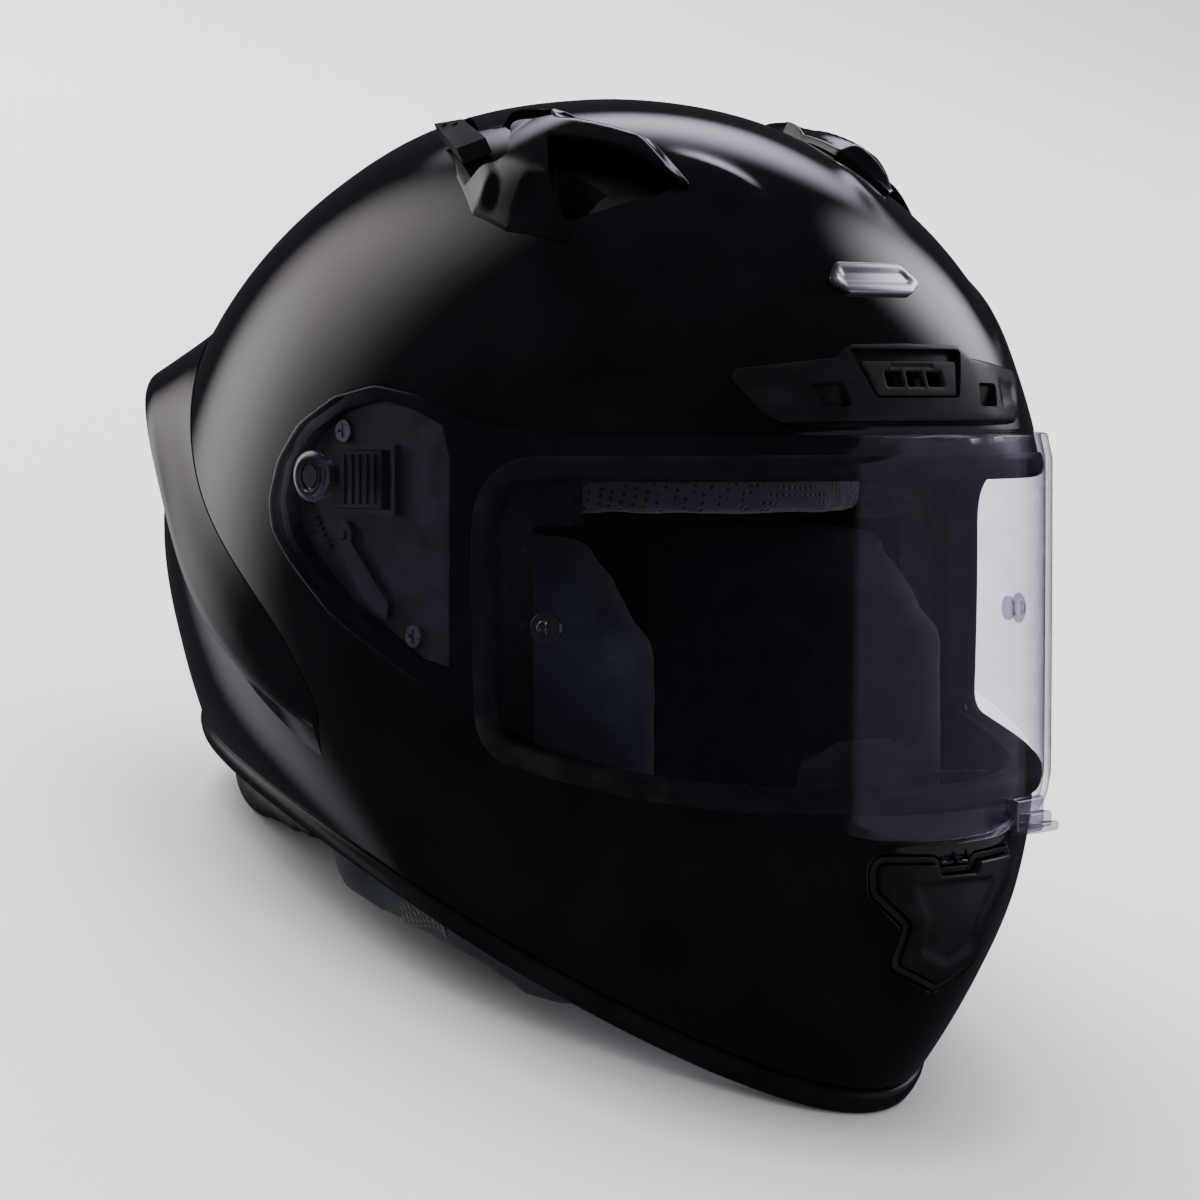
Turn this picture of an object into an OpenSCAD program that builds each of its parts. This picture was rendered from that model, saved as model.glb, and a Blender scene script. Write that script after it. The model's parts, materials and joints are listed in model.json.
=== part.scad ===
// Full-face motorcycle helmet: moulded shell, two-piece energy liner, comfort pads,
// clear visor on side pivots with quick-release levers, adjustable vents and a double-D chin strap.
// The outside is one sculpted surface. It is drawn upright, as worn, about the visor's pivot axis,
// and laid down at the end so that the chin and the neck roll rest on the ground.

/* [Shell] */
// Greatest width of the shell
shell_width = 258; // [254:1:262]
// Reach of the chin ahead of the visor pivots
front_reach = 168; // [166:1:172]
// Reach of the back of the shell behind the visor pivots
rear_reach = 158; // [156:1:164]
// Height of the crown above the visor pivots
crown_height = 127; // [125:1:131]
// Drop of the chin below the visor pivots
chin_drop = 208; // [206:1:210]
// Thickness of the shell wall
shell_wall = 4.5; // [4:0.1:4.8]

/* [Visor] */
// Width across the visor at its pivots
visor_width = 260; // [259.6:0.2:262]
// Reach of the visor ahead of its pivots
visor_reach = 163; // [162.6:0.2:165]
// Thickness of the visor
visor_wall = 2.2; // [1.8:0.1:2.4]
// Radius of the pivot boss that the visor turns on
pivot_r = 3.5; // [3:0.1:3.6]
// Radial play between the pivot ring and its boss
pivot_play = 0.25; // [0.15:0.05:0.3]

/* [Fit] */
// Half width of the head space in the energy liner
head_half_width = 87; // [84:1:88]
// Half length of the head space in the energy liner
head_half_length = 104; // [101:1:105]
// Height of the head space above the visor pivots
head_height = 88; // [85:1:89]
// Thickness of the padding in the crown
liner_pad = 9; // [7:0.5:10]

/* [Vents] */
// Travel of a top vent slider
top_slide = 7; // [4:1:7]
// Play around a vent slider
slide_play = 0.4; // [0.3:0.05:0.5]

/* [Stance] */
// Lean of the helmet when it rests on its chin and neck roll, in degrees
lean = 20; // [19:0.5:20.5]

/* [Hidden] */
$fn = 48;

// Sculpted surface. Each row is one level, from the crown to the rim, in millimetres:
// front reach and height, rear reach and height, side width, side reach and height,
// then how square the front and rear corners are, and how flat (or pointed) the nose and nape are.
LEVELS = [
    [0, 127, 0, 127, 0, 0, 127, 0, 0, 0, 0],
    [38, 127, -36, 126, 45, 0, 125, 0, 0, 0, 0],
    [82, 113, -76, 106, 87, 0, 103, 0.01, 0.01, 0.02, 0],
    [128, 74, -122, 70, 116, 0, 62, 0.02, 0.02, 0.05, 0],
    [151, 18, -150, 26, 127, 0, 12, 0.04, 0.03, 0.06, 0.01],
    [157, -50, -158, -20, 129, 0, -36, 0.06, 0.02, 0.03, 0.02],
    [166, -108, -151, -50, 125, 0, -78, 0.06, 0.01, -0.05, 0.02],
    [168, -160, -152, -70, 115, 0, -110, 0.05, 0.02, -0.14, 0.02],
    [128, -208, -157, -88, 102, 4, -133, 0.02, 0.03, -0.20, 0.04]
];
LAST = len(LEVELS) - 1;
TINY = 0.004;
width_ratio = shell_width / 258;
front_ratio = front_reach / 168;
rear_ratio = rear_reach / 158;
up_ratio = crown_height / 127;
down_ratio = chin_drop / 208;

// Level of the seam between the shell and its base trim
seam_level = 0.98;
// How far each half of a mirrored outline reaches past the middle
half_overlap = 0.01;
// Depth to which the chin trim is flattened where it stands
foot_cut = 1.2;
// Stand-offs of the visor's rebate and of the energy liner from the outer surface
rebate_depth = 4;
rebate_wall = 11;
liner_gap = 1;
// Gap under a moulding that is seated on the shell or on the visor
seat_gap = 0.05;
// Side pockets that hold the visor mechanism: their floor, and the plate on it
pocket_floor = 115.5;
pocket_face = 118.5;
plate_wall = 2;
plate_face = pocket_face + plate_wall;
// How far the crown cowls stand off the shell
cowl_height = 8;

// Clamped cubic spline through a list of vectors, from u = 0 at the first to u = 1 at the last.
function share(part, whole) = whole > 0 ? part / whole : 0;
function knot(i, m) = max(0, min(1, (i - 3) / (m - 3)));
function weight(i, k, u, m) = k == 0
    ? ((u >= knot(i, m) && u < knot(i + 1, m)) ? 1 : 0)
    : share(u - knot(i, m), knot(i + k, m) - knot(i, m)) * weight(i, k - 1, u, m)
    + share(knot(i + k + 1, m) - u, knot(i + k + 1, m) - knot(i + 1, m)) * weight(i + 1, k - 1, u, m);
function spline(list, u) =
    let (m = len(list), v = max(0, min(1 - 1e-9, u))) [for (i = [0:m - 1]) weight(i, 3, v, m)] * list;
function unit(v) = v / norm(v);
function mean(list) = [for (i = [0:len(list) - 1]) 1] * list / len(list);
function reversed(list) = [for (i = [len(list) - 1:-1:0]) list[i]];

// Point of the sculpted surface on one level, at an angle from the front towards the wearer's left.
function ring_point(level, a) =
    let (
        c = cos(a),
        square = (level[7] * (1 + c) + level[8] * (1 - c)) / 2,
        flat = (level[9] * (1 + c) + level[10] * (1 - c)) / 2,
        wave = (c - flat * cos(3 * a)) / (1 - flat),
        front = level[0] * front_ratio,
        rear = level[2] * rear_ratio,
        x = level[4] * width_ratio * (sin(a) + square * sin(3 * a)) / (1 - square),
        reach = level[5] + (front - rear) / 2 * wave + ((front + rear) / 2 - level[5]) * c * c,
        z = level[6] + (level[1] - level[3]) / 2 * wave + ((level[1] + level[3]) / 2 - level[6]) * c * c
    )
    [x, -reach, z * (z > 0 ? up_ratio : down_ratio)];

// One closed row of the surface, stood off by d along its normals.
function skin_row(u, d, count) =
    let (here = spline(LEVELS, u), above = spline(LEVELS, u - TINY), below = spline(LEVELS, u + TINY))
    [for (i = [0:count - 1])
        let (
            a = 360 * i / count,
            down = ring_point(below, a) - ring_point(above, a),
            across = ring_point(here, a + 1) - ring_point(here, a - 1)
        )
        ring_point(here, a) + d * unit(cross(down, across))];

// Single point of the surface and the directions there: across, up the slope, and outward.
function skin(u, a, d = 0) =
    let (
        here = spline(LEVELS, u),
        down = ring_point(spline(LEVELS, u + TINY), a) - ring_point(spline(LEVELS, u - TINY), a),
        across = ring_point(here, a + 1) - ring_point(here, a - 1)
    )
    ring_point(here, a) + d * unit(cross(down, across));
function across_skin(u, a) = unit(skin(u, a + 1) - skin(u, a - 1));
function out_of_skin(u, a) = unit(skin(u, a, 1) - skin(u, a));

// Closed solid through rows of points, each row a loop. Its two ends are closed by fans,
// or the last row joins the first one again.
module loft(rows, endless = false) {
    m = len(rows);
    n = len(rows[0]);
    steps = endless ? m : m - 1;
    points = [for (row = rows) each row];
    sides = [for (i = [0:steps - 1], j = [0:n - 1])
        let (k = (i + 1) % m, l = (j + 1) % n)
        each [[i * n + j, i * n + l, k * n + j], [k * n + j, i * n + l, k * n + l]]];
    first_end = [for (j = [0:n - 1]) [m * n, (j + 1) % n, j]];
    last_end = [for (j = [0:n - 1]) [m * n + 1, (m - 1) * n + j, (m - 1) * n + (j + 1) % n]];
    polyhedron(
        endless ? points : concat(points, [mean(rows[0]), mean(rows[m - 1])]),
        endless ? sides : concat(sides, first_end, last_end),
        convexity = 8
    );
}

// A moulding cut or joined as one continuous skin.
module moulded() {
    resize([0, 0, 0]) children();
}

// Everything inside the surface, down to a level.
module skin_solid(d, low, rows = 22, count = 48) {
    loft([for (i = [1:rows]) skin_row(low * i / rows, d, count)]);
}

// Open shell between two stand-offs, down to a level.
module skin_shell(outer, inner, low, rows = 22, count = 48) {
    outside = [for (i = [1:rows]) skin_row(low * i / rows, outer, count)];
    inside = [for (i = [1:rows]) skin_row(low * i / rows, inner, count)];
    loft(concat(outside, reversed(inside)));
}

// Band of the surface between two levels.
module skin_band(outer, inner, high, low, rows, count = 72) {
    outside = [for (i = [0:rows]) skin_row(high + (low - high) * i / rows, outer, count)];
    inside = [for (i = [0:rows]) skin_row(high + (low - high) * i / rows, inner, count)];
    loft(concat(outside, reversed(inside)), endless = true);
}

// Carries its children to a spot on the surface: x across, y up the slope, z outward.
module on_skin(u, a, d = 0) {
    p = skin(u, a, d);
    x = across_skin(u, a);
    z = out_of_skin(u, a);
    y = cross(z, x);
    multmatrix([[x[0], y[0], z[0], p[0]], [x[1], y[1], z[1], p[1]], [x[2], y[2], z[2], p[2]]]) children();
}

// Stands a side view, drawn as forward and up, across the whole helmet or on its right side only.
module through(width = 400) {
    rotate([90, 0, -90]) linear_extrude(width, center = true) children();
}
module on_right(near, far) {
    translate([-near, 0, 0]) rotate([90, 0, -90]) linear_extrude(far - near) children();
}
module on_both(near, far) {
    on_right(near, far) children();
    mirror([1, 0, 0]) on_right(near, far) children();
}
// Stands a front view, drawn as left and up, ahead of the helmet.
module ahead() {
    rotate([90, 0, 0]) linear_extrude(260) children();
}

// The visor's sheet: a wide arc in plan, upright, with a slight barrel at its sides.
visor_square = 0.03;
visor_flat = 0.02;
visor_middle = -25;
visor_barrel = 0.0008;
function visor_point(a, z, d = 0) =
    let (
        s = (sin(a) + visor_square * sin(3 * a)) / (1 - visor_square),
        c = (cos(a) - visor_flat * cos(3 * a)) / (1 - visor_flat),
        barrel = visor_barrel * pow(z - visor_middle, 2) * pow(sin(a), 4)
    )
    [s * (visor_width / 2 + d - barrel), -c * (visor_reach + d), z];
module visor_sheet(outer, inner, turns = 44, heights = 5) {
    low = -130;
    high = 42;
    loft([for (i = [-turns / 2:turns / 2])
        let (a = 112 * i / (turns / 2))
        concat(
            [for (j = [0:heights]) visor_point(a, low + (high - low) * j / heights, outer)],
            [for (j = [heights:-1:0]) visor_point(a, low + (high - low) * j / heights, inner)]
        )]);
}

// Outlines in side view, forward and up from the visor's pivots.
module visor_outline(grow = 0) {
    upper = [[-21, -8], [-17, 5], [-7, 17], [10, 26], [28, 29.5], [45, 26.5], [58, 21], [72, 17], [95, 14]];
    lower = [[150, -111], [107, -89], [76, -78], [60, -73], [35, -59], [10, -45], [-10, -28], [-19, -18]];
    offset(r = grow) polygon(concat(upper, [[200, 13.5], [200, -117], [164, -117]], lower));
}
module eyeport_outline(grow = 0) {
    corner = 14;
    offset(r = corner + grow) offset(delta = -corner)
        polygon([[72, 2], [230, 2], [230, -106], [165, -103], [120, -96], [90, -89], [72, -84]]);
}
module plate_outline(grow = 0) {
    edge = [[-15, -8], [-12, 4], [-3, 13], [11, 21], [28, 24], [42, 21], [54, 16], [57, 6], [57, -60]];
    polygon([for (p = concat(edge, [[46, -58], [33, -51], [11, -39], [-5, -26], [-12, -18]]))
        p + grow * unit(p - [24, -18])]);
}

// Rest stance: leans the upright helmet back and sets it on the ground.
module place() {
    translate([0, stance_shift, lean_drop]) rotate([-lean, 0, 0]) children();
}

lean_drop = chin_drop * cos(lean) - 128 * front_ratio * sin(lean) - foot_cut;
stance_reach = [for (u = [0.9:0.01:1]) let (p = skin(u, 0)) -p[1] * cos(lean) - p[2] * sin(lean)];
spoiler_reach = 172 * rear_ratio;
stance_shift = (max(stance_reach) - spoiler_reach * cos(lean) - 1) / 2;

// Everything below the ground, in the upright frame.
module under_ground() {
    rotate([lean, 0, 0]) translate([-300, -300, -lean_drop - 300]) cube([600, 600, 300]);
}

// Shell ------------------------------------------------------------------------------------------
module side_pocket(grow, near) {
    on_both(near, 160) intersection() {
        plate_outline(grow);
        translate([-60, -100]) square([121, 160]);
    }
}
module visor_rebate() {
    intersection() {
        visor_sheet(40, -rebate_depth);
        through() visor_outline(1.2);
    }
}
module vent_duct() {
    // Air ways through the shell and the liner: brow, chin and the two crown scoops.
    for (side = [-1, 1]) {
        translate([side * 9, 0, 31]) rotate([90, 0, 0]) linear_extrude(200) square([12, 6], center = true);
        translate([side * 70, -62, 60]) linear_extrude(80) square([14, 18], center = true);
        translate([side * 22, 140, 46]) rotate([90, 0, 0]) linear_extrude(80) square([14, 8], center = true);
    }
    translate([0, -120, -136]) rotate([90, 0, 0]) linear_extrude(80) square([24, 10], center = true);
}
module chin_pocket() {
    intersection() {
        skin_band(6, -2.6, 0.75, 0.98, 8);
        ahead() offset(r = 3) flap_outline();
    }
}
module latch_notch() {
    translate([47, -150, -121]) rotate([0, 0, 22]) cube([14, 16, 7], center = true);
}
module shell() {
    color([0.03, 0.03, 0.035]) place() moulded() difference() {
        union() {
            skin_shell(0, -shell_wall, seam_level, 20, 52);
            intersection() {
                skin_shell(-1.2, -rebate_wall, seam_level - 0.03, 12, 40);
                through() visor_outline(6);
                translate([-200, -200, -150]) cube([400, 400, 120]);
            }
            intersection() {
                skin_solid(-1.2, seam_level, 12, 36);
                side_pocket(3, pocket_floor);
            }
        }
        through() eyeport_outline();
        visor_rebate();
        side_pocket(1, pocket_face);
        chin_pocket();
        latch_notch();
        vent_duct();
        on_both(100, 140) for (p = screw_spots) translate(p) circle(2.1, $fn = 24);
        on_both(100, 140) translate(anchor_spot) circle(3.4, $fn = 24);
        on_both(pocket_face - 1.4, 140) translate(anchor_spot) circle(5.6, $fn = 24);
    }
}

// Spoiler: a collar that leaves the surface behind the crown and runs down both flanks.
// Each stop: angle and level of its upper seam, then of its free edge, and the edge's stand-off.
SPOILER = [
    [180, 0.37, 180, 0.475, 19], [170, 0.375, 168, 0.475, 18.5], [152, 0.385, 150, 0.475, 17],
    [134, 0.4, 134, 0.49, 12], [121, 0.5, 122, 0.575, 5.5], [112, 0.6, 116, 0.68, 4.5],
    [101, 0.69, 109, 0.77, 4.5], [93, 0.77, 100, 0.83, 3], [91, 0.83, 92, 0.85, 0.8]
];
module rear_spoiler() {
    count = 16;
    sections = [for (i = [-count:count])
        let (
            side = i < 0 ? -1 : 1,
            stop = spline(SPOILER, abs(i) / count),
            seam = skin(stop[1], side * stop[0], 0.3),
            edge = skin(stop[3], side * stop[2], stop[4]),
            root = skin(stop[3] + 0.035, side * stop[2], 0.3),
            middle = skin((stop[1] + stop[3]) / 2, side * (stop[0] + stop[2]) / 2, 0.3),
            brow = skin((stop[1] + stop[3]) / 2, side * (stop[0] + stop[2]) / 2, stop[4] * 0.42 + 0.6),
            lip = edge + 0.12 * (root - edge)
        )
        [seam, brow, edge, lip, root, middle]];
    color([0.03, 0.03, 0.035]) place() moulded() difference() {
        loft(sections);
        skin_solid(seat_gap, seam_level, 20, 52);
    }
}
module rear_vent_cover() {
    color([0.06, 0.06, 0.065]) place() moulded() difference() {
        intersection() {
            skin_band(5, 0.3, 0.52, 0.76, 8);
            rotate([-90, 0, 0]) linear_extrude(260)
                polygon([[-34, 12], [34, 12], [46, 40], [30, 56], [-30, 56], [-46, 40]]);
        }
        for (x = [-24, -8, 8, 24]) translate([x, 150, -28]) cube([11, 60, 9], center = true);
    }
}

// Trim and seals ---------------------------------------------------------------------------------
module base_trim() {
    color([0.05, 0.05, 0.055]) place() moulded() difference() {
        skin_band(0.9, -6.5, seam_level + 0.002, 1, 3, 64);
        under_ground();
    }
}
module eyeport_seal() {
    color([0.07, 0.07, 0.08]) place() moulded() difference() {
        intersection() {
            visor_sheet(-visor_wall - 0.7, -60, 36, 3);
            through() eyeport_outline(5);
        }
        through() eyeport_outline(-6);
        skin_solid(-9, 0.97, 16, 36);
        difference() {
            skin_solid(0.9, seam_level, 20, 44);
            visor_sheet(40, -rebate_depth + 0.45, 36, 3);
            through() eyeport_outline(-0.3);
        }
    }
}

// Energy liner -----------------------------------------------------------------------------------
module head_space(shrink = 0) {
    hull() {
        translate([0, 6, 0])
            scale([head_half_width - shrink, head_half_length - shrink, head_height - shrink])
            sphere(1, $fn = 34);
        translate([0, 6, -240])
            scale([head_half_width - shrink, head_half_length - shrink, 1]) cylinder(h = 1, r = 1, $fn = 34);
    }
}
module cheek_space() {
    translate([0, 0, -240]) linear_extrude(224) offset(r = 8) offset(delta = -8)
        polygon([[-92, 44], [92, 44], [92, -45], [80, -98], [-80, -98], [-92, -45]]);
}
module liner_blank() {
    difference() {
        skin_solid(-shell_wall - liner_gap, 0.92, 16, 40);
        head_space();
        cheek_space();
        through() eyeport_outline(8);
        intersection() {
            skin_shell(6, -rebate_wall - liner_gap, seam_level, 12, 36);
            through() visor_outline(7);
            translate([-200, -200, -150]) cube([400, 400, 121]);
        }
        side_pocket(4, pocket_floor - liner_gap);
        vent_duct();
        latch_notch();
        on_both(60, 140) translate(anchor_spot) circle(9, $fn = 24);
    }
}
module eps_crown() {
    color([0.16, 0.16, 0.17]) place() moulded() difference() {
        liner_blank();
        translate([-200, -262, -300]) cube([400, 200, 300]);
    }
}
module eps_chin() {
    color([0.16, 0.16, 0.17]) place() moulded() intersection() {
        liner_blank();
        translate([-200, -264, -300]) cube([400, 180, 205]);
        difference() {
            through() square(600, center = true);
            translate([0, 0, -240]) linear_extrude(145) offset(r = 20) square([164, 216], center = true);
        }
    }
}

// Comfort padding --------------------------------------------------------------------------------
module crown_liner() {
    color([0.13, 0.13, 0.15]) place() moulded() difference() {
        head_space(0.6);
        head_space(liner_pad + 0.6);
        translate([-200, -200, -300]) cube([400, 400, 285]);
        translate([-200, -222, -300]) cube([400, 202, 316]);
    }
}
module brow_pad() {
    color([0.18, 0.18, 0.2]) place() moulded() intersection() {
        difference() {
            head_space(0.8);
            head_space(liner_pad + 2);
        }
        translate([-74, -222, -13]) cube([148, 202, 28]);
    }
}
module inside_rim(d) {
    skin_solid(d, 1, 14, 40);
    translate([0, 0, -240]) linear_extrude(150) offset(delta = -0.6)
        polygon([for (p = skin_row(1, d, 40)) [p[0], p[1]]]);
}
module cheek_pad() {
    plan = [[-89.4, 40], [-89.4, -42], [-77, -94], [-66, -96], [-61, -60], [-60, 6], [-66, 38]];
    side = [
        [-37, -20], [55, -20], [96, -52], [96, -148], [84, -166],
        [46, -160], [33, -148], [-8, -138], [-37, -128]
    ];
    moulded() intersection() {
        inside_rim(-9);
        translate([0, 0, -240]) linear_extrude(240) offset(r = 5) offset(delta = -5) polygon(plan);
        through() offset(r = 8) offset(delta = -8) polygon(side);
        union() {
            head_space(0.8);
            translate([0, 0, -250]) linear_extrude(230) offset(r = 8) offset(delta = -8.8)
                polygon([[-92, 44], [92, 44], [92, -45], [80, -98], [-80, -98], [-92, -45]]);
        }
    }
}
module cheek_pad_right() {
    color([0.13, 0.13, 0.16]) place() cheek_pad();
}
module cheek_pad_left() {
    color([0.13, 0.13, 0.16]) place() mirror([1, 0, 0]) cheek_pad();
}
module neck_roll() {
    color([0.1, 0.1, 0.11]) place() moulded() difference() {
        loft([for (i = [0:24])
            let (
                a = 117 + 126 * i / 24,
                middle = skin(1, a, -20) - [0, 0, 9],
                out = unit([sin(a), -cos(a), 0]),
                end = min(1, 0.35 + 4 * min(i, 24 - i) / 24)
            )
            [for (k = [0:13])
                let (b = 360 * k / 14)
                middle + 12 * end * (cos(b) * out + sin(b) * [0, 0, 1])]]);
        under_ground();
        skin_shell(0, -shell_wall - 3, 1, 20, 48);
    }
}

// Visor and its mechanism ------------------------------------------------------------------------
screw_spots = [[8.5, 14.6], [42, -51]];
anchor_spot = [24, -36];
hook_spot = [40, -33];
ring_r = 6;
arm_spot = [9, -19];
pin_angle = 57;
pin_height = -47;
module visor_panel() {
    color([0.75, 0.74, 0.8, 0.35]) place() moulded() {
        difference() {
            intersection() {
                visor_sheet(0, -visor_wall);
                through() visor_outline();
            }
            through() circle(ring_r + 0.2, $fn = 40);
            for (side = [-1, 1]) visor_pin_place(side) cylinder(h = 12, r = 2.7, center = true, $fn = 24);
        }
        on_both(122.6, 125.6) translate(hook_spot) circle(3, $fn = 24);
    }
}
module pivot_ring() {
    bore = pivot_r + pivot_play;
    rotate([0, -90, 0]) rotate_extrude($fn = 64)
        polygon([[bore, 124.2], [7.4, 124.2], [7.4, 126], [ring_r, 126], [ring_r, 129.8], [bore, 129.8]]);
}
module pivot_ring_right() {
    color([0.8, 0.8, 0.86, 0.5]) place() pivot_ring();
}
module pivot_ring_left() {
    color([0.8, 0.8, 0.86, 0.5]) place() mirror([1, 0, 0]) pivot_ring();
}
module visor_pin_place(side) {
    p = visor_point(side * pin_angle, pin_height);
    q = visor_point(side * pin_angle + 1, pin_height);
    translate(p) rotate([0, 0, atan2(q[1] - p[1], q[0] - p[0])]) rotate([90, 0, 0]) children();
}
module visor_pins() {
    color([0.7, 0.7, 0.74]) place() for (side = [-1, 1]) visor_pin_place(side) {
        cylinder(h = 5.6, r = 2.5, center = true);
        translate([0, 0, 0.6]) cylinder(h = 1.4, r = 5.2);
        translate([0, 0, -visor_wall - 1.9]) cylinder(h = 1.4, r = 4.2);
    }
}
module visor_lock_tab() {
    color([0.82, 0.82, 0.88, 0.5]) place() moulded() difference() {
        translate(visor_point(18, -111, 0.1)) rotate([0, 0, 16]) hull() {
            translate([0, 1, 0]) cube([26, 2, 16], center = true);
            translate([2, -8, -2]) cube([14, 3, 9], center = true);
            translate([3, -4, 4]) cube([20, 3, 8], center = true);
        }
        visor_sheet(seat_gap, -40);
        skin_solid(1, seam_level, 20, 52);
    }
}
module visor_latch() {
    color([0.08, 0.08, 0.09]) place() translate([47, -149, -121]) rotate([0, 0, 22])
        translate([0, 3, 0]) cube([12, 8, 5.6], center = true);
}
module side_plate() {
    difference() {
        union() {
            on_right(pocket_face + 0.1, plate_face) plate_outline(0.3);
            on_right(plate_face - 0.5, 129) circle(pivot_r);
            on_right(plate_face - 0.5, 123.4) translate(arm_spot) circle(1.6);
            on_right(plate_face - 0.5, 121.6)
                for (k = [0:5]) translate([-9 + 1.3 * k, -14 - 1.9 * k]) square([4, 1]);
            on_right(plate_face - 0.5, 123.2) translate([5.5, 8.6]) square([29, 1.6]);
            on_right(plate_face - 0.5, 123.2) translate([5.5, -12.2]) square([29, 1.6]);
            on_right(plate_face - 0.5, 123.2) translate([33, -12.2]) square([1.6, 22.4]);
        }
        for (p = screw_spots) on_right(100, 140) translate(p) circle(2.1);
    }
}
module side_plate_right() {
    color([0.1, 0.1, 0.12]) place() side_plate();
}
module side_plate_left() {
    color([0.1, 0.1, 0.12]) place() mirror([1, 0, 0]) side_plate();
}
module side_screw() {
    difference() {
        union() {
            on_right(pocket_floor - 0.3, plate_face + 0.3) circle(1.9);
            on_right(plate_face + 0.1, plate_face + 1.7) circle(3.6);
        }
        on_right(plate_face + 0.8, 130) square([4.4, 0.9], center = true);
        on_right(plate_face + 0.8, 130) square([0.9, 4.4], center = true);
    }
}
module side_screws() {
    color([0.35, 0.35, 0.37]) place() for (side = [0, 1], p = screw_spots)
        mirror([side, 0, 0]) translate([0, -p[0], p[1]]) side_screw();
}
module visor_release() {
    on_right(plate_face + 0.3, 123.6) translate([8.4, -10.2]) square([20, 18.4]);
    for (k = [0:4]) on_right(123.4, 124.6) translate([10 + 3.6 * k, -9]) square([1.8, 16]);
}
module visor_release_right() {
    color([0.14, 0.14, 0.16]) place() visor_release();
}
module visor_release_left() {
    color([0.14, 0.14, 0.16]) place() mirror([1, 0, 0]) visor_release();
}
module detent_arm() {
    difference() {
        union() {
            on_right(plate_face + 0.3, 122.8) translate(arm_spot) circle(4.4);
            on_right(plate_face + 0.3, 122.8)
                polygon([[6, -21], [12.6, -21], [31, -41], [30, -46], [26, -44.5], [17.5, -38]]);
        }
        on_right(plate_face, 124) translate(arm_spot) circle(1.8);
    }
}
module detent_arm_right() {
    color([0.16, 0.16, 0.18]) place() detent_arm();
}
module detent_arm_left() {
    color([0.16, 0.16, 0.18]) place() mirror([1, 0, 0]) detent_arm();
}

// Vents ------------------------------------------------------------------------------------------
module both_sides() {
    children();
    mirror([1, 0]) children();
}
module brow_outline() {
    polygon([
        [0, 41.5], [25, 41], [31, 37], [66, 34.5], [68, 31], [61, 20], [55, 16.8], [-55, 16.8], [-61, 20],
        [-68, 31], [-66, 34.5], [-31, 37], [-25, 41]
    ]);
}
module brow_slot() {
    polygon([[-26.4, 39.6], [26.4, 39.6], [19.6, 24.2], [-19.6, 24.2]]);
}
module brow_vent_housing() {
    color([0.06, 0.06, 0.065]) place() moulded() difference() {
        intersection() {
            skin_band(4.6, 0.3, 0.38, 0.54, 5, 96);
            ahead() brow_outline();
        }
        intersection() {
            skin_band(8, 1.6, 0.36, 0.56, 5, 96);
            ahead() brow_slot();
        }
        ahead() translate([0, 31]) square([32, 7], center = true);
        ahead() both_sides() translate([35, 25]) polygon([[-5, -3.5], [6, -3.5], [9, 4], [-3, 4]]);
    }
}
module brow_vent_slider() {
    color([0.07, 0.07, 0.075]) place() moulded() difference() {
        intersection() {
            skin_band(4.4, 2, 0.38, 0.54, 5, 96);
            ahead() polygon([[-22.6, 36], [22.6, 36], [18.6, 24.8], [-18.6, 24.8]]);
        }
        ahead() translate([0, 30.4]) square([28, 5], center = true);
    }
}
// Right cowl seen from above, drawn as left and forward. Its blade reaches ahead over the scoop's mouth.
module cowl_outline() {
    polygon([
        [-63, 0], [-68, 1], [-85, 23], [-94, 40], [-94, 56], [-88, 77], [-85, 77], [-83, 69], [-77, 60],
        [-67, 49], [-50, 91], [-47, 92.5], [-44, 71], [-52, 44], [-53, 38], [-62, 11]
    ]);
}
slider_level = 0.155;
slider_angle = -78;
module slider_spot() {
    on_skin(slider_level, slider_angle) rotate([0, 0, -90]) children();
}
module slider_outline() {
    polygon([[-10, -13], [-11, -2], [3, 15], [8, 6]]);
}
module top_vent_cowl() {
    moulded() difference() {
        intersection() {
            skin_band(cowl_height, -1, 0.06, 0.36, 9, 90);
            rotate([180, 0, 0]) linear_extrude(300, center = true) cowl_outline();
        }
        skin_solid(2 * seat_gap, seam_level, 20, 52);
        slider_spot() translate([0, 0, -6]) linear_extrude(24) offset(delta = slide_play) hull() {
            slider_outline();
            translate([-6, -2]) slider_outline();
            translate([0, top_slide]) slider_outline();
        }
    }
}
module top_vent_slider() {
    slider_spot() {
        translate([0, 0, 1.4]) linear_extrude(6) slider_outline();
        for (y = [-8, -3.5]) translate([-8.4, y, 7.2]) cylinder(h = 0.8, r = 1);
    }
}
module top_vent_cowl_right() {
    color([0.03, 0.03, 0.035]) place() top_vent_cowl();
}
module top_vent_cowl_left() {
    color([0.03, 0.03, 0.035]) place() mirror([1, 0, 0]) top_vent_cowl();
}
module top_vent_slider_right() {
    color([0.07, 0.07, 0.075]) place() top_vent_slider();
}
module top_vent_slider_left() {
    color([0.07, 0.07, 0.075]) place() mirror([1, 0, 0]) top_vent_slider();
}
module flap_outline() {
    both_sides() polygon([
        [-half_overlap, -127], [8, -127], [10, -123.5], [31, -122.5],
        [30, -131], [17, -142], [18.5, -155], [-half_overlap, -163]
    ]);
}
module chin_vent_frame() {
    color([0.05, 0.05, 0.055]) place() moulded() difference() {
        intersection() {
            skin_band(0.2, -2.4, 0.75, 0.98, 8);
            ahead() offset(r = 2.6) flap_outline();
        }
        intersection() {
            skin_band(6, -1.2, 0.75, 0.98, 8);
            ahead() offset(r = 0.7) flap_outline();
        }
        ahead() translate([0, -138]) square([22, 8], center = true);
    }
}
module chin_vent_flap() {
    color([0.05, 0.05, 0.055]) place() moulded() intersection() {
        skin_band(2.6, -0.7, 0.75, 0.98, 8, 96);
        ahead() flap_outline();
    }
}
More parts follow.
